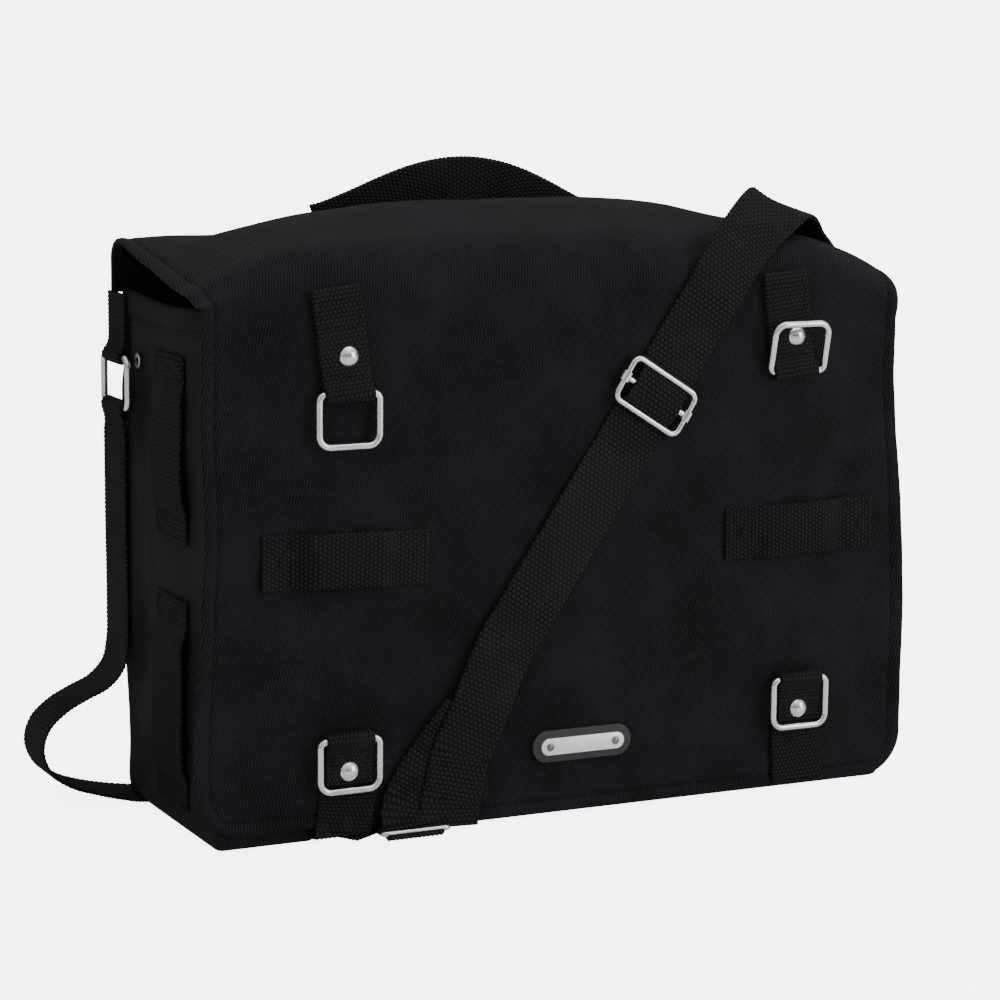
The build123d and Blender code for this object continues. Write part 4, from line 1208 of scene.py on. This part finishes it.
canvas_light = (0.0142, 0.0135, 0.0178)
canvas = cloth_finish("black_twill_canvas", twill, (0.0009, 0.0009, 0.0015), canvas_light,
                      dust_over(canvas_light, 1.6, 0.0012), lint_amount=0.8, rough=0.8,
                      sheen=0.02, gloss=0.08, depth=0.0003, strength=0.55, Pitch=1.5, Wander=0.5)
webbing = webbing_finish("black_cotton_webbing", (0.0009, 0.0009, 0.0010), (0.0215, 0.0212, 0.0222), 0.6)
strap_webbing = webbing_finish("black_strap_webbing", (0.001, 0.001, 0.001), (0.0228, 0.0226, 0.0224), 0.55)

# %% Thread
thread, tree, shader = material("black_thread", 0.6)
twist = noise_node(tree, solid_map(tree), 1600.0, 2.0)
spun = blend_colours(tree, twist, (0.0015, 0.0015, 0.0018), (0.0065, 0.0065, 0.008))
tree.links.new(spun, shader.inputs["Base Color"])
shader.inputs["Specular IOR Level"].default_value = 0.12
relief_node(tree, shader, twist, 0.0002, 0.4)

# %% Nickel
def nickel_finish(name, dark, light, roughness, scale=1500.0, depth=0.00008, strength=0.25):
    """Worn nickel; roughness is one number, or its least and most where the wear shows in the gloss."""
    varied = isinstance(roughness, tuple)
    finish, tree, shader = material(name, roughness[0] if varied else roughness, 1.0)
    wear = place(tree, scuffs, solid_map(tree), Scale=scale)
    tree.links.new(blend_colours(tree, wear["Mask"], dark, light), shader.inputs["Base Color"])
    if varied:
        tree.links.new(remap(tree, wear["Mask"], 0.0, 1.0, *roughness), shader.inputs["Roughness"])
    relief_node(tree, shader, wear["Height"], depth, strength)
    return finish


nickel = nickel_finish("satin_nickel", (0.66, 0.64, 0.61), (0.88, 0.86, 0.83), (0.17, 0.34))
# The screws' nickel is much darker than the plate's: painted shade standing for the shade in and round the
# screws. Its duller gloss is its own.
dull_nickel_painted_shade = nickel_finish("dull_nickel_painted_shade", (0.16, 0.155, 0.145), (0.34, 0.33, 0.315), 0.4)
bright_nickel = nickel_finish("bright_plate_nickel", (0.86, 0.85, 0.83), (0.98, 0.975, 0.96), (0.36, 0.5),
                              2200.0, 0.00006, 0.2)

# %% Leather and board
leather, tree, shader = material("dark_badge_leather", 0.55)
pebble = place(tree, grain, solid_map(tree), Scale=1100.0)
hide = blend_colours(tree, pebble["Mask"], (0.011, 0.011, 0.012), (0.026, 0.026, 0.028))
tree.links.new(hide, shader.inputs["Base Color"])
tree.links.new(remap(tree, pebble["Mask"], 0.2, 0.8, 0.45, 0.65), shader.inputs["Roughness"])
relief_node(tree, shader, pebble["Height"], 0.0002, 0.35)

board, tree, shader = material("grey_base_board", 0.8)
flecks = noise_node(tree, solid_map(tree), 500.0, 5.0, 0.7)
pulp = blend_colours(tree, flecks, (0.016, 0.016, 0.017), (0.04, 0.04, 0.042))
tree.links.new(pulp, shader.inputs["Base Color"])
relief_node(tree, shader, flecks, 0.0003, 0.3)
print("materials", [m.name for m in bpy.data.materials if m.users])

# %% [markdown]
# ## Dress every piece
# Each new piece gets its finish and hides the CAD pieces it stands for, and most ride on their CAD
# body. Cloth that crosses a joint is baked in place and rides on no body.


# %% Finishes and stand-ins
def dress(piece, finish, slot, *stands_for):
    piece.data.materials.clear()
    piece.data.materials.append(finish)
    if stands_for:
        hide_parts(*stands_for)


dress(flap_rear, canvas, "canvas", "flap_seam", "flap_top")
dress(flap_main, canvas, "canvas", "flap_front")
dress(hem_thread, thread, "canvas")
dress(rear_thread, thread, "canvas")
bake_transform(flap_rear)
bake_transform(rear_thread)
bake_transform(flap_main)
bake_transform(hem_thread)

walls = ["front_panel", "back_panel", "side_panel_left", "side_panel_right", "base_panel"]
dress(bag_shell, canvas, "canvas", *walls)
dress(binding, webbing, "webbing", "mouth_binding")
dress(binding_thread, thread, "canvas")
for piece in (bag_shell, binding, binding_thread):
    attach(piece, "bag")

for side in ("left", "right"):
    tab, tab_thread = tabs[side]
    loop, loop_thread = loops[side]
    closing, closing_thread = closures[side]
    dress(tab, webbing, "webbing", f"upper_tab_{side}")
    dress(loop, webbing, "webbing", f"belt_loop_{side}")
    dress(closing, webbing, "webbing", f"closure_strap_{side}", f"closure_anchor_{side}")
    dress(side_pieces["tab", side], webbing, "webbing", f"ring_tab_{side}")
    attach(side_pieces["tab", side], "bag")
    for piece in (tab_thread, loop_thread, closing_thread):
        dress(piece, thread, "webbing")
    for piece in (tab, tab_thread, loop, loop_thread):
        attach(piece, "flap_front")
    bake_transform(closing)
    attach(closing_thread, f"closure_{side}")
    for level in ("upper", "lower"):
        loop, loop_thread = side_pieces[level, side]
        dress(loop, webbing, "webbing", f"side_loop_{level}_{side}")
        dress(loop_thread, thread, "webbing")
        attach(loop, "bag")
        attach(loop_thread, "bag")

dress(strap_left, strap_webbing, "strap_webbing", "strap_end_left", "strap_left_run", "strap_under_run")
dress(strap_left_thread, thread, "strap_webbing")
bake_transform(strap_left)
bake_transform(strap_left_thread)
dress(strap_right, strap_webbing, "strap_webbing", "strap_end_right")
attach(strap_right, "side_ring_right")
dress(strap_main, strap_webbing, "strap_webbing", "strap_front", "strap_over")
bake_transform(strap_main)
dress(strap_patch, strap_webbing, "strap_webbing", "strap_end_patch")
dress(strap_fold, strap_webbing, "strap_webbing", "strap_link_fold")
dress(patch_thread, thread, "strap_webbing")
for piece in (strap_patch, strap_fold, patch_thread):
    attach(piece, "flap_front")
dress(slider_layer, strap_webbing, "strap_webbing", "slider_fold")
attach(slider_layer, "slider")

dress(grip, webbing, "webbing", "carry_handle")
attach(grip, "handle")
for pad, side in zip(pads, ("left", "right")):
    dress(pad, webbing, "webbing", f"handle_anchor_{side}")
    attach(pad, "flap_top")
dress(patch, leather, "badge_leather", "badge_patch")
dress(plate, bright_nickel, "nickel", "badge_plate")
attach(patch, "flap_front")
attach(plate, "flap_front")

# %% Finishes of the CAD pieces that stay
metal = ["eyelet", "side_stud", "side_ring", "closure_ring", "upper_ring", "upper_rivet"]
metal += ["snap_socket", "snap_cap", "snap_stud"]
metal_nodes = [f"{stem}_{side}" for stem in metal for side in ("left", "right")]
metal_nodes += ["strap_link", "slider_frame", "slider_bar", "badge_screws"]
for name in metal_nodes:
    for slot in nodes[name].material_slots:
        slot.material = dull_nickel_painted_shade if name == "badge_screws" else nickel
for slot in nodes["base_board"].material_slots:
    slot.material = board
print("metal pieces", len(metal_nodes))

# %% [markdown]
# ## Floor, light and camera
# A pale floor and a pale world give soft light from all sides. A large lamp stands above and in
# front, a strong one on the right so that the metal shines and the twill shows, and a weak one on
# the left. The floor and the world are brighter to the camera than to the bag, so they look white
# and the black cloth keeps its depth.

# %% Floor and lamps
clear()
bpy.ops.mesh.primitive_plane_add(size=40, location=(0, 0, 0))
floor = bpy.context.object
floor.name = "studio_floor"
paper, tree, shader = material("pale_floor", 0.9)
shader.inputs["Base Color"].default_value = (0.9, 0.9, 0.9, 1)
shader.inputs["Emission Color"].default_value = (1, 1, 1, 1)
glow = tree.nodes.new("ShaderNodeLightPath").outputs["Is Camera Ray"]
floor_glow, room_glow = 5.3, 6.0
tree.links.new(math_node(tree, "MULTIPLY", glow, floor_glow), shader.inputs["Emission Strength"])
floor.data.materials.append(paper)

world = bpy.data.worlds.new("pale_room")
bpy.context.scene.world = world
world.use_nodes = True
room = world.node_tree
way = room.nodes.new("ShaderNodeSeparateXYZ")
room.links.new(room.nodes.new("ShaderNodeTexCoord").outputs["Generated"], way.inputs[0])
overhead = remap(room, way.outputs[2], 0.05, 0.8, 0.12, 0.95)
seen = room.nodes.new("ShaderNodeLightPath").outputs["Is Camera Ray"]
calc = partial(math_node, room)
lit = calc("MULTIPLY", overhead, calc("SUBTRACT", 1.0, seen))
strength = calc("ADD", calc("MULTIPLY", seen, room_glow), lit)
room.nodes["Background"].inputs["Color"].default_value = (1, 1, 1, 1)
room.links.new(strength, room.nodes["Background"].inputs["Strength"])


def lamp(name, place, target, size, power):
    clear()
    bpy.ops.object.light_add(type="AREA", location=place)
    light = bpy.context.object
    light.name = name
    light.data.shape = "RECTANGLE"
    light.data.size, light.data.size_y = size
    light.data.energy = power
    light.rotation_euler = (Vector(target) - Vector(place)).to_track_quat("-Z", "Y").to_euler()
    return light


lamp("top_light", (0.3, -0.5, 1.9), (0, 0, 0.2), (1.6, 1.2), 9)
lamp("left_light", (-1.9, -1.1, 0.9), (0, 0, 0.15), (1.2, 1.2), 1.2)
lamp("right_light", (1.6, -1.8, 0.8), (0, 0, 0.15), (1.0, 1.4), 22)

# %% Camera
azimuth, elevation, roll = math.radians(-25.94), math.radians(9.74), math.radians(0.54)
reach = math.cos(elevation)
back_way = Vector((math.sin(azimuth) * reach, -math.cos(azimuth) * reach, math.sin(elevation)))
level_right = Vector((math.cos(azimuth), math.sin(azimuth), 0))
level_up = back_way.cross(level_right)
right_way = level_right * math.cos(roll) + level_up * math.sin(roll)
up_way = level_up * math.cos(roll) - level_right * math.sin(roll)
clear()
bpy.ops.object.camera_add()
camera = bpy.context.object
camera.name = "studio_camera"
turned = Matrix((right_way, up_way, back_way)).transposed().to_4x4()
look_at, camera_distance = Vector((0, 0, 0.140)), 1.60375
camera.matrix_world = Matrix.Translation(look_at + back_way * camera_distance) @ turned
camera.data.lens = 110.8
camera.data.sensor_width = 36
camera.data.shift_x, camera.data.shift_y = -0.0126, 0.0231
bpy.context.scene.camera = camera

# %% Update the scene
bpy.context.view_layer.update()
